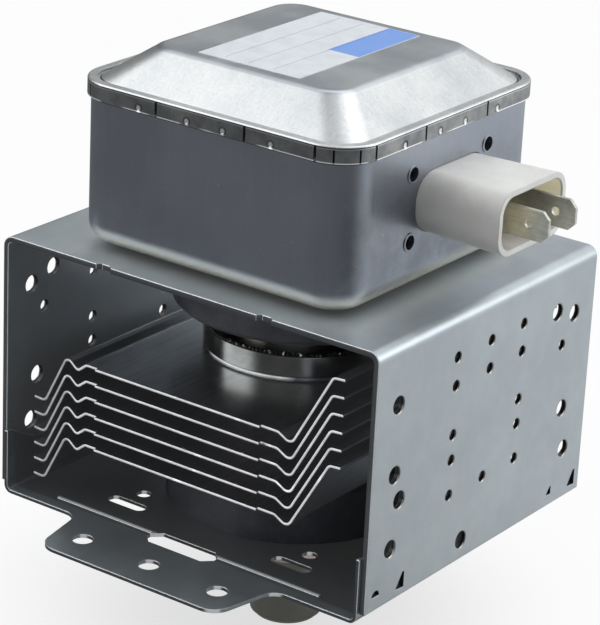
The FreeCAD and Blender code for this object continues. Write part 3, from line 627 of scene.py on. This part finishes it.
def makePlastic():
    # Moulded white plastic, with painted shade on the side facing -Y; its inside is cream and glows with
    # painted light
    material, g = newMaterial("white_plastic")
    place = g.place()
    x, y, z = g.axes(place)
    ny, nz = g.facing()[1:]
    clouds = g.noise(place, plastic["clouds"], 3.0)
    grain = g.noise(place, plastic["grain"], 2.0)
    base = g.mix((clouds * 0.7 + grain * 0.3).over(0.35, 0.65), plastic["dark"], plastic["light"])
    # Painted shade on the side facing -Y, weaker towards the top
    frontShade = (0.0 - ny).over(0.1, 0.9) * (1.0 - z.over(*plastic["frontShadeZ"]) * 0.4)
    base = g.mix(frontShade * 0.44, base, plastic["frontShade"])
    fromY, fromZ = y - plastic["middleY"], z - plastic["middleZ"]
    section = (fromY.away() / plastic["wallY"]) ** 6.0 + (fromZ.away() / plastic["wallZ"]) ** 6.0
    outward = (ny * fromY + nz * fromZ).over(0.3 * mm, 1.0 * mm)
    inside = (1.0 - section.over(1.35, 2.4)) * (1.0 - x.past(plastic["mouthX"], 0.25 * mm))
    inside = inside * (1.0 - outward)
    # The inside is cream and glows with painted light
    base = g.mix(inside * (0.75 + clouds * 0.3), base, plastic["cream"])
    roughness = plastic["roughness"] + (clouds - 0.5) * 0.16
    finishMaterial(g, plastic, base, roughness, grain, plastic["height"],
                   light=g.mix(inside * plastic["insideLight"], black, plastic["cream"]))
    return material


potting = {
    "metallic": 0.0,
    "light": colour(226, 216, 178),
    "dark": colour(196, 184, 140),
    "roughness": 0.36,
    "height": 0.12 * mm,
}


def makePotting():
    # Resin poured into the socket, uneven and with pores
    material, g = newMaterial("casting_resin")
    place = g.place()
    flow = g.noise(place, 240.0, 4.0, 0.6)
    pores = g.noise(place, 1500.0, 2.0).over(0.66, 0.74)
    base = g.mix(flow.over(0.34, 0.68), potting["dark"], potting["light"])
    roughness = potting["roughness"] + (flow - 0.5) * 0.3
    finishMaterial(g, potting, base, roughness, flow - pores * 0.5, potting["height"])
    return material


tin = {
    "metallic": 0.7,
    "light": colour(214, 214, 206),
    "dark": colour(182, 181, 172),
    # colour of the painted shade in the socket
    "dull": colour(78, 78, 74),
    "roughness": 0.34,
    "edge": 0.12 * mm,
    "clouds": 330.0,
    "height": 0.02 * mm,
    "socketShadeX": (40.0 * mm, 54.0 * mm),
}


def makeTin():
    # Dull tin plating over brass, scuffed along the tab by a receptacle, with painted shade in the
    # socket
    material, g = newMaterial("tin_plating")
    place = g.place()
    x = g.axes(place)[0]
    clouds = g.noise(place, tin["clouds"], 5.0, 0.65)
    scuffs = g.streaks(place, (140.0, 3000.0, 3000.0), 3.0)
    both = clouds * 0.6 + scuffs * 0.4
    base = g.mix(both.over(0.36, 0.66), tin["dark"], tin["light"])
    # Painted shade in the socket
    base = g.mix(x.within(*tin["socketShadeX"], 4.0 * mm) * 0.42, base, tin["dull"])
    roughness = tin["roughness"] + (clouds - 0.5) * 0.25 + (scuffs - 0.5) * 0.15
    finishMaterial(g, tin, base, roughness, both, tin["height"])
    return material


enamel = {
    "metallic": 0.85,
    "light": colour(190, 106, 62),
    "dark": colour(138, 66, 34),
    "roughness": 0.28,
}


def makeEnamel():
    # Enamelled winding wire
    material, g = newMaterial("enamelled_copper")
    place = g.place()
    clouds = g.noise(place, 300.0, 3.0)
    base = g.mix(clouds.over(0.35, 0.66), enamel["dark"], enamel["light"])
    finishMaterial(g, enamel, base, enamel["roughness"] + (clouds - 0.5) * 0.2)
    return material


label = {
    "metallic": 0.0,
    "paper": colour(214, 217, 221),
    "wearAndHighlight": colour(202, 206, 212),
    "blue": colour(110, 150, 218),
    "ink": colour(70, 74, 84),
    "roughness": 0.38,
    "height": 0.03 * mm,
    "soft": 0.05 * mm,
    "fieldX": (4.3 * mm, 11.9 * mm),
    "fieldY": (-0.7 * mm, 20.9 * mm),
    "rulesX": (-7.4 * mm, -1.5 * mm, 4.7 * mm),
    "rulesY": (-19.6 * mm, 19.6 * mm),
    "ruleHalf": 0.08 * mm,
}


def makeLabelPaper():
    # Plain film label with one blue field and ruled lines
    material, g = newMaterial("label_film")
    place = g.place()
    x, y = g.axes(place)[:2]
    soft = label["soft"]
    clouds = g.noise(place, 210.0, 4.0)
    fibre = g.noise(place, 2600.0, 2.0)
    base = g.mix((clouds * 0.7 + fibre * 0.3).over(0.38, 0.66), label["paper"], label["wearAndHighlight"])
    field = x.within(*label["fieldX"], soft) * y.within(*label["fieldY"], soft)
    base = g.mix(field * (0.90 + clouds * 0.15), base, label["blue"])
    rules = [x.within(line - label["ruleHalf"], line + label["ruleHalf"], soft)
             for line in label["rulesX"]]
    rules = sum(rules[1:], rules[0]) * y.within(*label["rulesY"], soft)
    base = g.mix(rules * (0.45 + clouds * 0.4), base, label["ink"])
    finishMaterial(g, label, base, label["roughness"] + (clouds - 0.5) * 0.14, clouds, label["height"])
    return material


def dress(material, *names):
    for name in names:
        for slot in nodes[name].material_slots:
            slot.material = material


def dressNodes():
    plated = makeNickel("nickel_plating", 0.0, nickel["light"])
    tinned = makeTin()
    sintered = makeTungsten()
    enamelled = makeEnamel()
    dress(makeZinc("zinc_yoke", zincYoke), "yoke")
    dress(makeZinc("zinc_plate", zincPlate), "mounting_plate")
    dress(makeDrawnBox(), "filter_box", "capacitor_flange", "capacitor_rivets")
    dress(makeLidSteel(), "filter_box_lid")
    dress(makeLabelPaper(), "blank_label")
    dress(makeAluminium(), *["cooling_fin_%d" % number for number in fins])
    dress(plated, "upper_vessel", "lower_vessel", "upper_pole_piece", "lower_pole_piece",
          "stem_ring", "antenna_ring", "contact_gasket")
    dress(makeNickel("antenna_plating", nickel["antennaDull"], nickel["antenna"]), "antenna_cap")
    dress(makeFerrite(), "upper_magnet", "lower_magnet", "choke_core_1", "choke_core_2")
    dress(makeCopper(), "anode_cylinder", "anode_vanes", "strap_rings", "antenna_lead")
    dress(makeAlumina(), "stem_insulator", "antenna_insulator")
    dress(sintered, "cathode_rod_centre", "cathode_rod_side", "filament", "end_shield_upper",
          "end_shield_lower")
    dress(makePlastic(), "capacitor_housing")
    dress(makePotting(), "feedthrough_capacitor")
    dress(tinned, "push_on_tab_1", "push_on_tab_2")
    dress(enamelled, "choke_coil_1", "choke_coil_2")
    print("nodes dressed")
    return plated, tinned, sintered, enamelled


# Pieces grown with Geometry Nodes

class Grower(Graph):
    # A Geometry Nodes tree with named sizes, which turns a start mesh into one plain mesh
    def __init__(self, name):
        self.tree = bpy.data.node_groups.new(name, "GeometryNodeTree")
        self.tree.interface.new_socket("Geometry", in_out="INPUT", socket_type="NodeSocketGeometry")
        self.tree.interface.new_socket("Geometry", in_out="OUTPUT", socket_type="NodeSocketGeometry")
        self.entry = self.tree.nodes.new("NodeGroupInput")
        self.exit = self.tree.nodes.new("NodeGroupOutput")
        self.start = Wire(self, self.entry.outputs[0])
        self.sizes = {}

    def size(self, name, value):
        kind = "NodeSocketInt" if isinstance(value, int) else "NodeSocketFloat"
        if isinstance(value, tuple):
            kind = "NodeSocketVector"
        made = self.tree.interface.new_socket(name, in_out="INPUT", socket_type=kind)
        self.sizes[made.identifier] = value
        return Wire(self, self.entry.outputs[name])

    def grow(self, geometry, material, points=(), lines=()):
        whole = self.node("GeometryNodeRealizeInstances", {}, {0: geometry})
        smooth = self.node("GeometryNodeSetShadeSmooth", {}, {0: whole})
        coated = self.node("GeometryNodeSetMaterial", {}, {"Geometry": smooth, "Material": material})
        self.feed(self.exit.inputs[0], coated)
        name = self.tree.name
        mesh = bpy.data.meshes.new(name)
        mesh.from_pydata([tuple(spot) for spot in points], [tuple(line) for line in lines], [])
        piece = bpy.data.objects.new(name, mesh)
        bpy.context.scene.collection.objects.link(piece)
        modifier = piece.modifiers.new("grow", "NODES")
        modifier.node_group = self.tree
        for identifier, value in self.sizes.items():
            modifier[identifier] = value
        bpy.context.view_layer.update()
        evaluated = piece.evaluated_get(bpy.context.evaluated_depsgraph_get())
        finished = bpy.data.meshes.new_from_object(evaluated)
        piece.modifiers.clear()
        piece.data = finished
        return piece


def addPiece(piece, slot, *replaced):
    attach(piece, "root")
    if replaced:
        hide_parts(*replaced)
    print(piece.name, len(piece.data.polygons), "faces")


holeRims = {
    "depth": 80.0 * mm,
    "height": 55.7 * mm,
    "lowerEdge": 2.2 * mm,
    "wallX": 47.5 * mm,
    "wire": 0.20 * mm,
    "segments": 40,
    "wireSides": 10,
    # Shares of the wall's depth from its middle, and of its height from below
    "small": (1.3 * mm, [(-0.151, 0.293), (-0.151, 0.433), (-0.151, 0.533), (-0.151, 0.725),
                         (-0.151, 0.835), (0.154, 0.293), (0.154, 0.433), (0.154, 0.533),
                         (0.154, 0.725), (0.154, 0.835), (0.003, 0.293), (0.003, 0.725),
                         (0.003, 0.835), (0.354, 0.662)]),
    "big": (2.0 * mm, [(-0.404, 0.767), (-0.404, 0.499), (-0.378, 0.391), (-0.405, 0.212),
                       (-0.079, 0.077), (0.320, 0.808), (0.406, 0.770), (0.380, 0.391),
                       (0.404, 0.212)]),
}


def makeRim(name, centres, radius, material):
    g = Grower(name)
    across = g.size("Hole radius", radius)
    wire = g.size("Lip radius", holeRims["wire"])
    turn = g.size("Turn", (0.0, math.pi / 2, 0.0))
    ring = g.node("GeometryNodeCurvePrimitiveCircle", {},
                  {"Resolution": holeRims["segments"], "Radius": across})
    section = g.node("GeometryNodeCurvePrimitiveCircle", {},
                     {"Resolution": holeRims["wireSides"], "Radius": wire})
    lip = g.node("GeometryNodeCurveToMesh", {}, {"Curve": ring, "Profile Curve": section})
    lips = g.node("GeometryNodeInstanceOnPoints", {},
                  {"Points": g.start, "Instance": lip, "Rotation": turn})
    return g.grow(lips, material, centres)


def makeHoleRims(material):
    # The punch rounds each hole's outer edge
    x = holeRims["wallX"] - holeRims["wire"]
    for size in ("small", "big"):
        radius, shares = holeRims[size]
        centres = []
        for side in (1, -1):
            for across, up in shares:
                centres.append((side * x, side * across * holeRims["depth"],
                                holeRims["lowerEdge"] + up * holeRims["height"]))
        addPiece(makeRim("rims_of_%s_holes" % size, centres, radius, material), "yoke_steel")


weld = {
    "metallic": 1.0,
    "dull": colour(70, 69, 67),
    "bright": colour(240, 240, 238),
    "roughness": 0.3,
    "radius": 20.0 * mm,
    "z": 40.35 * mm,
    "bead": 0.40 * mm,
    "count": 150,
    "swell": (0.45, 1.25),
    "seed": 4,
    "sparkles": 800.0,
    "sparkleLight": 0.22,
}


def makeSolder():
    # Dull grains with painted glints on their facets
    material, g = newMaterial("solder")
    place = g.place()
    sparkle = g.noise(place, weld["sparkles"], 3.0, 0.7).over(0.60, 0.67)
    base = g.mix(sparkle, weld["dull"], weld["bright"])
    finishMaterial(g, weld, base, light=sparkle * weld["sparkleLight"])
    return material


def makeWeldBead(material):
    # Small uneven beads of solder round the shoulder of the tube
    g = Grower("weld_bead")
    radius = g.size("Ring radius", weld["radius"])
    bead = g.size("Bead radius", weld["bead"])
    count = g.size("Count", weld["count"])
    ring = g.node("GeometryNodeMeshCircle", {}, {"Vertices": count, "Radius": radius})
    ball = g.node("GeometryNodeMeshIcoSphere", {}, {"Radius": bead, "Subdivisions": 2})
    least, most = weld["swell"]
    swell = g.node("FunctionNodeRandomValue", {"data_type": "FLOAT"},
                   {2: least, 3: most, "Seed": weld["seed"]}, 1)
    beads = g.node("GeometryNodeInstanceOnPoints", {},
                   {"Points": ring, "Instance": ball, "Scale": swell})
    lifted = g.node("GeometryNodeTransform", {},
                    {"Geometry": beads, "Translation": (0.0, 0.0, weld["z"])})
    addPiece(g.grow(lifted, material), "nickel_steel")


burrs = {
    "length": 1.5 * mm,
    "radius": 0.13 * mm,
    "firstFlat": 34.5 * mm,
    "pitch": 3.6 * mm,
    "above": 0.32 * mm,
    "from": -20.5 * mm,
    "to": 18.0 * mm,
    "perFin": 7,
    "stray": Vector((3.2 * mm, 0.0, 0.1 * mm)),
    "least": (0.2, 0.6, 0.6),
    "seed": 11,
}


def makeBurrs(material):
    # Slivers that the shearing tool left standing on the fins' front and rear edges
    g = Grower("fin_burrs")
    length = g.size("Sliver length", burrs["length"])
    radius = g.size("Sliver radius", burrs["radius"])
    points = []
    lines = []
    for number in fins:
        low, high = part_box("cooling_fin_%d" % number)
        z = burrs["firstFlat"] - burrs["pitch"] * (number - 1) + burrs["above"]
        for y in (low[1] + burrs["radius"], high[1] - burrs["radius"]):
            points += [(burrs["from"], y, z), (burrs["to"], y, z)]
            lines.append((len(points) - 2, len(points) - 1))
    path = g.node("GeometryNodeMeshToCurve", {}, {"Mesh": g.start})
    count = g.size("Count for a fin", burrs["perFin"])
    spots = g.node("GeometryNodeCurveToPoints", {"mode": "COUNT"}, {"Curve": path, "Count": count})
    shift = g.node("FunctionNodeRandomValue", {"data_type": "FLOAT_VECTOR"},
                   {0: -burrs["stray"], 1: burrs["stray"], "Seed": burrs["seed"]}, 0)
    spots = g.node("GeometryNodeSetPosition", {}, {"Geometry": spots, "Offset": shift})
    sliver = g.node("GeometryNodeMeshUVSphere", {}, {"Segments": 8, "Rings": 6, "Radius": 1.0})
    stretch = g.node("ShaderNodeCombineXYZ", {}, {0: length * 0.5, 1: radius, 2: radius})
    sliver = g.node("GeometryNodeTransform", {}, {"Geometry": sliver, "Scale": stretch})
    size = g.node("FunctionNodeRandomValue", {"data_type": "FLOAT_VECTOR"},
                  {0: burrs["least"], 1: (1.0, 1.0, 1.0), "Seed": burrs["seed"] + 1}, 0)
    slivers = g.node("GeometryNodeInstanceOnPoints", {},
                     {"Points": spots, "Instance": sliver, "Scale": size})
    addPiece(g.grow(slivers, material, points, lines), "fin_aluminium")


gasket = {
    "middleRadius": 12.6 * mm,
    "halfWidth": 2.95 * mm,
    "halfHeight": 1.85 * mm,
    "z": -2.0 * mm,
    "wire": 0.13 * mm,
    "wireSides": 6,
    "strands": 64,
    "steps": 9,
    "turns": 48,
    "weave": 0.03,
    "coreInset": 0.25 * mm,
    "coreSteps": (72, 24),
}


def strandPath():
    # One strand winds once round the ring's section each way, and weaves in and out as it goes
    points = []
    lines = []
    span = 2 * math.pi * gasket["steps"] / gasket["strands"]
    for way in (1, -1):
        first = len(points)
        for index in range(gasket["turns"] + 1):
            share = index / gasket["turns"]
            around = way * span * share
            section = 2 * math.pi * share
            weave = 1.0 + gasket["weave"] * way * math.cos(section * gasket["steps"] * 2)
            radius = gasket["middleRadius"] + gasket["halfWidth"] * math.cos(section) * weave
            z = gasket["z"] + gasket["halfHeight"] * math.sin(section) * weave
            points.append((radius * math.cos(around), radius * math.sin(around), z))
            if index:
                lines.append((first + index - 1, first + index))
    return points, lines


def makeGasket(material, core):
    # Knitted wire sleeve over a dark core
    g = Grower("knitted_gasket")
    wire = g.size("Wire radius", gasket["wire"])
    strands = g.size("Strands", gasket["strands"])
    path = g.node("GeometryNodeMeshToCurve", {}, {"Mesh": g.start})
    section = g.node("GeometryNodeCurvePrimitiveCircle", {},
                     {"Resolution": gasket["wireSides"], "Radius": wire})
    strand = g.node("GeometryNodeCurveToMesh", {}, {"Curve": path, "Profile Curve": section})
    spots = g.node("GeometryNodeMeshLine", {}, {"Count": strands, "Offset": (0.0, 0.0, 0.0)})
    index = g.node("GeometryNodeInputIndex")
    turn = g.node("ShaderNodeCombineXYZ", {}, {2: index * (2 * math.pi) / strands})
    sleeve = g.node("GeometryNodeInstanceOnPoints", {},
                    {"Points": spots, "Instance": strand, "Rotation": turn})
    addPiece(g.grow(sleeve, material, *strandPath()), "wire_mesh", "contact_gasket")
    g = Grower("gasket_core")
    around, across = gasket["coreSteps"]
    ring = g.node("GeometryNodeCurvePrimitiveCircle", {},
                  {"Resolution": around, "Radius": g.size("Ring radius", gasket["middleRadius"])})
    section = g.node("GeometryNodeCurvePrimitiveCircle", {}, {"Resolution": across, "Radius": 1.0})
    squeeze = g.size("Section", (gasket["halfWidth"] - gasket["coreInset"],
                                 gasket["halfHeight"] - gasket["coreInset"], 1.0))
    section = g.node("GeometryNodeTransform", {}, {"Geometry": section, "Scale": squeeze})
    body = g.node("GeometryNodeCurveToMesh", {}, {"Curve": ring, "Profile Curve": section})
    body = g.node("GeometryNodeTransform", {},
                  {"Geometry": body, "Translation": (0.0, 0.0, gasket["z"])})
    addPiece(g.grow(body, core), "wire_mesh")


choke = {
    "radius": 3.4 * mm,
    "wire": 0.64 * mm,
    "wireSides": 8,
    "turns": 17,
    "perTurn": 22,
    "half": 11.3 * mm,
    "leadIn": 4.5 * mm,
    "tabX": 24.0 * mm,
    "tabPitch": 10.0 * mm,
    "tabLead": 4.0 * mm,
    "rodY": 3.2 * mm,
    "rodX": -0.8 * mm,
    "middleY": plastic["middleY"],
    "z": plastic["middleZ"] + 0.1 * mm,
    "roundings": 3,
}


def cutCorners(points):
    # Each round takes a quarter off both ends of every piece; the path's own ends stay
    for step in range(choke["roundings"]):
        cut = [points[0]]
        for first, second in zip(points, points[1:]):
            cut.append(first.lerp(second, 0.25))
            cut.append(first.lerp(second, 0.75))
        points = cut + [points[-1]]
    return points


def middleY(name):
    low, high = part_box(name)
    return (low[1] + high[1]) / 2


def windingPath(side, axisY):
    # From the tube's stem into the coil, round the rod, and on to the tab
    half, radius, z = choke["half"], choke["radius"], choke["z"]
    startY = axisY - side * radius
    rodY = side * choke["rodY"]
    tabY = choke["middleY"] + side * choke["tabPitch"] / 2
    entry = half + choke["leadIn"]
    left = [(choke["rodX"], rodY, z), (-entry, rodY, z), (-entry, startY, z), (-half, startY, z)]
    right = [(half, startY, z), (entry, startY, z), (choke["tabX"] - choke["tabLead"], tabY, z),
             (choke["tabX"], tabY, z)]
    coil = []
    count = choke["turns"] * choke["perTurn"]
    for index in range(1, count):
        angle = 2 * math.pi * index / choke["perTurn"]
        coil.append(Vector((-half + 2 * half * index / count, axisY - side * radius * math.cos(angle),
                            z + radius * math.sin(angle))))
    left, right = [cutCorners([Vector(spot) for spot in lead]) for lead in (left, right)]
    return left + coil + right


def makeChokes(material):
    # Enamelled wire wound over the ferrite rods
    for number in (1, 2):
        name = "choke_coil_%d" % number
        side = 1 if middleY(name) > choke["middleY"] else -1
        path = windingPath(side, middleY("choke_core_%d" % number))
        lines = [(index - 1, index) for index in range(1, len(path))]
        g = Grower("winding_%d" % number)
        wire = g.size("Wire radius", choke["wire"])
        curve = g.node("GeometryNodeMeshToCurve", {}, {"Mesh": g.start})
        section = g.node("GeometryNodeCurvePrimitiveCircle", {},
                         {"Resolution": choke["wireSides"], "Radius": wire})
        coil = g.node("GeometryNodeCurveToMesh", {},
                      {"Curve": curve, "Profile Curve": section, "Fill Caps": True})
        addPiece(g.grow(coil, material, path, lines), "winding_copper", name)


def growPieces(plated, tinned, sintered, enamelled):
    solder = makeSolder()
    makeHoleRims(plated)
    makeWeldBead(solder)
    makeBurrs(solder)
    makeGasket(tinned, sintered)
    makeChokes(enamelled)


# Studio and camera

studio = {
    "floorZ": -29.95 * mm,
    "floorHalf": 1.5,
    "paint": (0.62, 0.62, 0.62, 1.0),
    "white": (1.0, 1.0, 1.0, 1.0),
    "glow": (0.97, 0.99, 1.0, 1.0),
    "floorWhite": 0.93,
    "shadeMiddle": (-10.0 * mm, 6.0 * mm, -29.95 * mm),
    "shadeEnds": (20.0 * mm, 78.0 * mm),
    "shade": 0.24,
    "middle": (10.0 * mm, -20.0 * mm, 0.0),
    "lampAim": (0.0, 0.0, 60.0 * mm),
    "rearTowards": (0.45, 0.80, 0.40),
    "rearFrom": 0.30,
    "rearOfSky": 1.15,
    "rearOfFloor": 1.05,
    "baseOfSky": 0.17,
    "baseOfFloor": 0.18,
    "topEnds": (0.55, 0.85),
    "topStrength": 1.20,
    "gapTowards": (-0.10, 0.04, 0.99),
    "gapEnds": (0.925, 0.980),
    "frontTowards": (-0.60, -0.62, 0.50),
    "frontEnds": (0.88, 0.965),
    "frontStrength": 1.9,
}


def studioGlow(g, direction, rear, base):
    # What metal sees of the studio: bright behind, in a ring overhead and in a window to the
    # front left
    unit = g.vector("NORMALIZE", direction, (0.0, 0.0, 0.0))
    facing = {}
    for name in ("rear", "gap", "front"):
        towards = tuple(Vector(studio[name + "Towards"]).normalized())
        facing[name] = g.vector("DOT_PRODUCT", unit, towards, "Value")
    glow = (facing["rear"] - studio["rearFrom"]).math("MAXIMUM", 0.0) * rear + base
    ring = g.axes(unit)[2].over(*studio["topEnds"]) * studio["topStrength"]
    ring = ring * (1.0 - facing["gap"].over(*studio["gapEnds"]))
    return glow + ring + facing["front"].over(*studio["frontEnds"]) * studio["frontStrength"]


def makeWorld():
    world = bpy.data.worlds.new("studio")
    bpy.context.scene.world = world
    g = Graph(world)
    direction = g.node("ShaderNodeTexCoord", out="Generated")
    glow = studioGlow(g, direction, studio["rearOfSky"], studio["baseOfSky"])
    camera = g.node("ShaderNodeLightPath", out="Is Camera Ray")
    seen = g.node("ShaderNodeBackground", {}, {"Color": studio["white"], "Strength": 1.0})
    lit = g.node("ShaderNodeBackground", {}, {"Color": studio["glow"], "Strength": glow})
    both = g.node("ShaderNodeMixShader", {}, {0: camera, 1: lit, 2: seen})
    g.node("ShaderNodeOutputWorld", {}, {"Surface": both})


def makeFloorMaterial():
    # White to the camera, with a soft shade under the object; metal sees the studio's glow in it
    material, g = newMaterial("studio_floor")
    place = g.node("ShaderNodeNewGeometry", out="Position")
    camera = g.node("ShaderNodeLightPath", out="Is Camera Ray")
    glossy = g.node("ShaderNodeLightPath", out="Is Glossy Ray")
    under = g.vector("SUBTRACT", place, studio["shadeMiddle"])
    under = g.node("ShaderNodeVectorMath", {"operation": "LENGTH"}, {0: under}, "Value")
    white = studio["floorWhite"] - (1.0 - under.over(*studio["shadeEnds"])) * studio["shade"]
    paint = g.node("ShaderNodeBsdfDiffuse", {}, {"Color": studio["paint"]})
    seen = g.node("ShaderNodeEmission", {}, {"Color": studio["white"], "Strength": 1.0})
    shown = g.node("ShaderNodeMixShader", {}, {0: camera * white, 1: paint, 2: seen})
    away = g.vector("SUBTRACT", place, studio["middle"])
    light = studioGlow(g, away, studio["rearOfFloor"], studio["baseOfFloor"])
    glow = g.node("ShaderNodeEmission", {}, {"Color": studio["glow"], "Strength": light})
    both = g.node("ShaderNodeMixShader", {}, {0: glossy, 1: shown, 2: glow})
    # From below the floor is clear, so that the underside can be looked at
    clear = g.node("ShaderNodeBsdfTransparent")
    behind = g.node("ShaderNodeNewGeometry", out="Backfacing")
    whole = g.node("ShaderNodeMixShader", {}, {0: behind, 1: both, 2: clear})
    g.node("ShaderNodeOutputMaterial", {}, {"Surface": whole})
    return material


def makeFloor():
    half = studio["floorHalf"]
    z = studio["floorZ"]
    corners = [(-half, -half, z), (half, -half, z), (half, half, z), (-half, half, z)]
    mesh = bpy.data.meshes.new("studio_floor")
    mesh.from_pydata(corners, [], [(0, 1, 2, 3)])
    mesh.materials.append(makeFloorMaterial())
    floor = bpy.data.objects.new("studio_floor", mesh)
    bpy.context.scene.collection.objects.link(floor)


lamps = {
    "overhead": {"place": (0.0, 0.30, 0.80), "size": 0.90, "power": 0.6},
    "right": {"place": (0.65, 0.45, 0.35), "size": 0.50, "power": 2.2},
    "left": {"place": (-0.60, -0.20, 0.55), "size": 0.50, "power": 0.5},
}


def makeLamps():
    for name, lamp in lamps.items():
        data = bpy.data.lights.new("lamp_" + name, "AREA")
        data.shape = "SQUARE"
        data.size = lamp["size"]
        data.energy = lamp["power"]
        light = bpy.data.objects.new("lamp_" + name, data)
        light.location = lamp["place"]
        aim = Vector(studio["lampAim"]) - light.location
        light.rotation_euler = aim.to_track_quat("-Z", "Y").to_euler()
        bpy.context.scene.collection.objects.link(light)


photoCamera = {
    "azimuth": -35.43346,      # degrees from +Y towards +X
    "elevation": 21.65753,     # degrees, looking down
    "roll": -2.79274,
    "place": (0.328253, -0.461304, 0.266557),
    "focalPixels": 2892.895,
    "widthPixels": 600,
    "sensorWidth": 36.0,
    "clipStart": 0.01,
}


def makeCamera():
    data = bpy.data.cameras.new("photo_camera")
    data.sensor_fit = "HORIZONTAL"
    data.sensor_width = photoCamera["sensorWidth"]
    data.lens = photoCamera["focalPixels"] * data.sensor_width / photoCamera["widthPixels"]
    data.clip_start = photoCamera["clipStart"]
    camera = bpy.data.objects.new("photo_camera", data)
    az = math.radians(photoCamera["azimuth"])
    el = math.radians(photoCamera["elevation"])
    roll = math.radians(photoCamera["roll"])
    ahead = Vector((math.sin(az) * math.cos(el), math.cos(az) * math.cos(el), -math.sin(el)))
    right = Vector((math.cos(az), -math.sin(az), 0.0))
    down = ahead.cross(right)
    turnedRight = right * math.cos(roll) + down * math.sin(roll)
    turnedDown = down * math.cos(roll) - right * math.sin(roll)
    turn = Matrix((turnedRight, -turnedDown, -ahead)).transposed()
    camera.matrix_world = Matrix.Translation(photoCamera["place"]) @ turn.to_4x4()
    bpy.context.scene.collection.objects.link(camera)
    bpy.context.scene.camera = camera


makeCamera()
makeWorld()
makeFloor()
makeLamps()
growPieces(*dressNodes())
bpy.context.scene.view_settings.view_transform = "Standard"
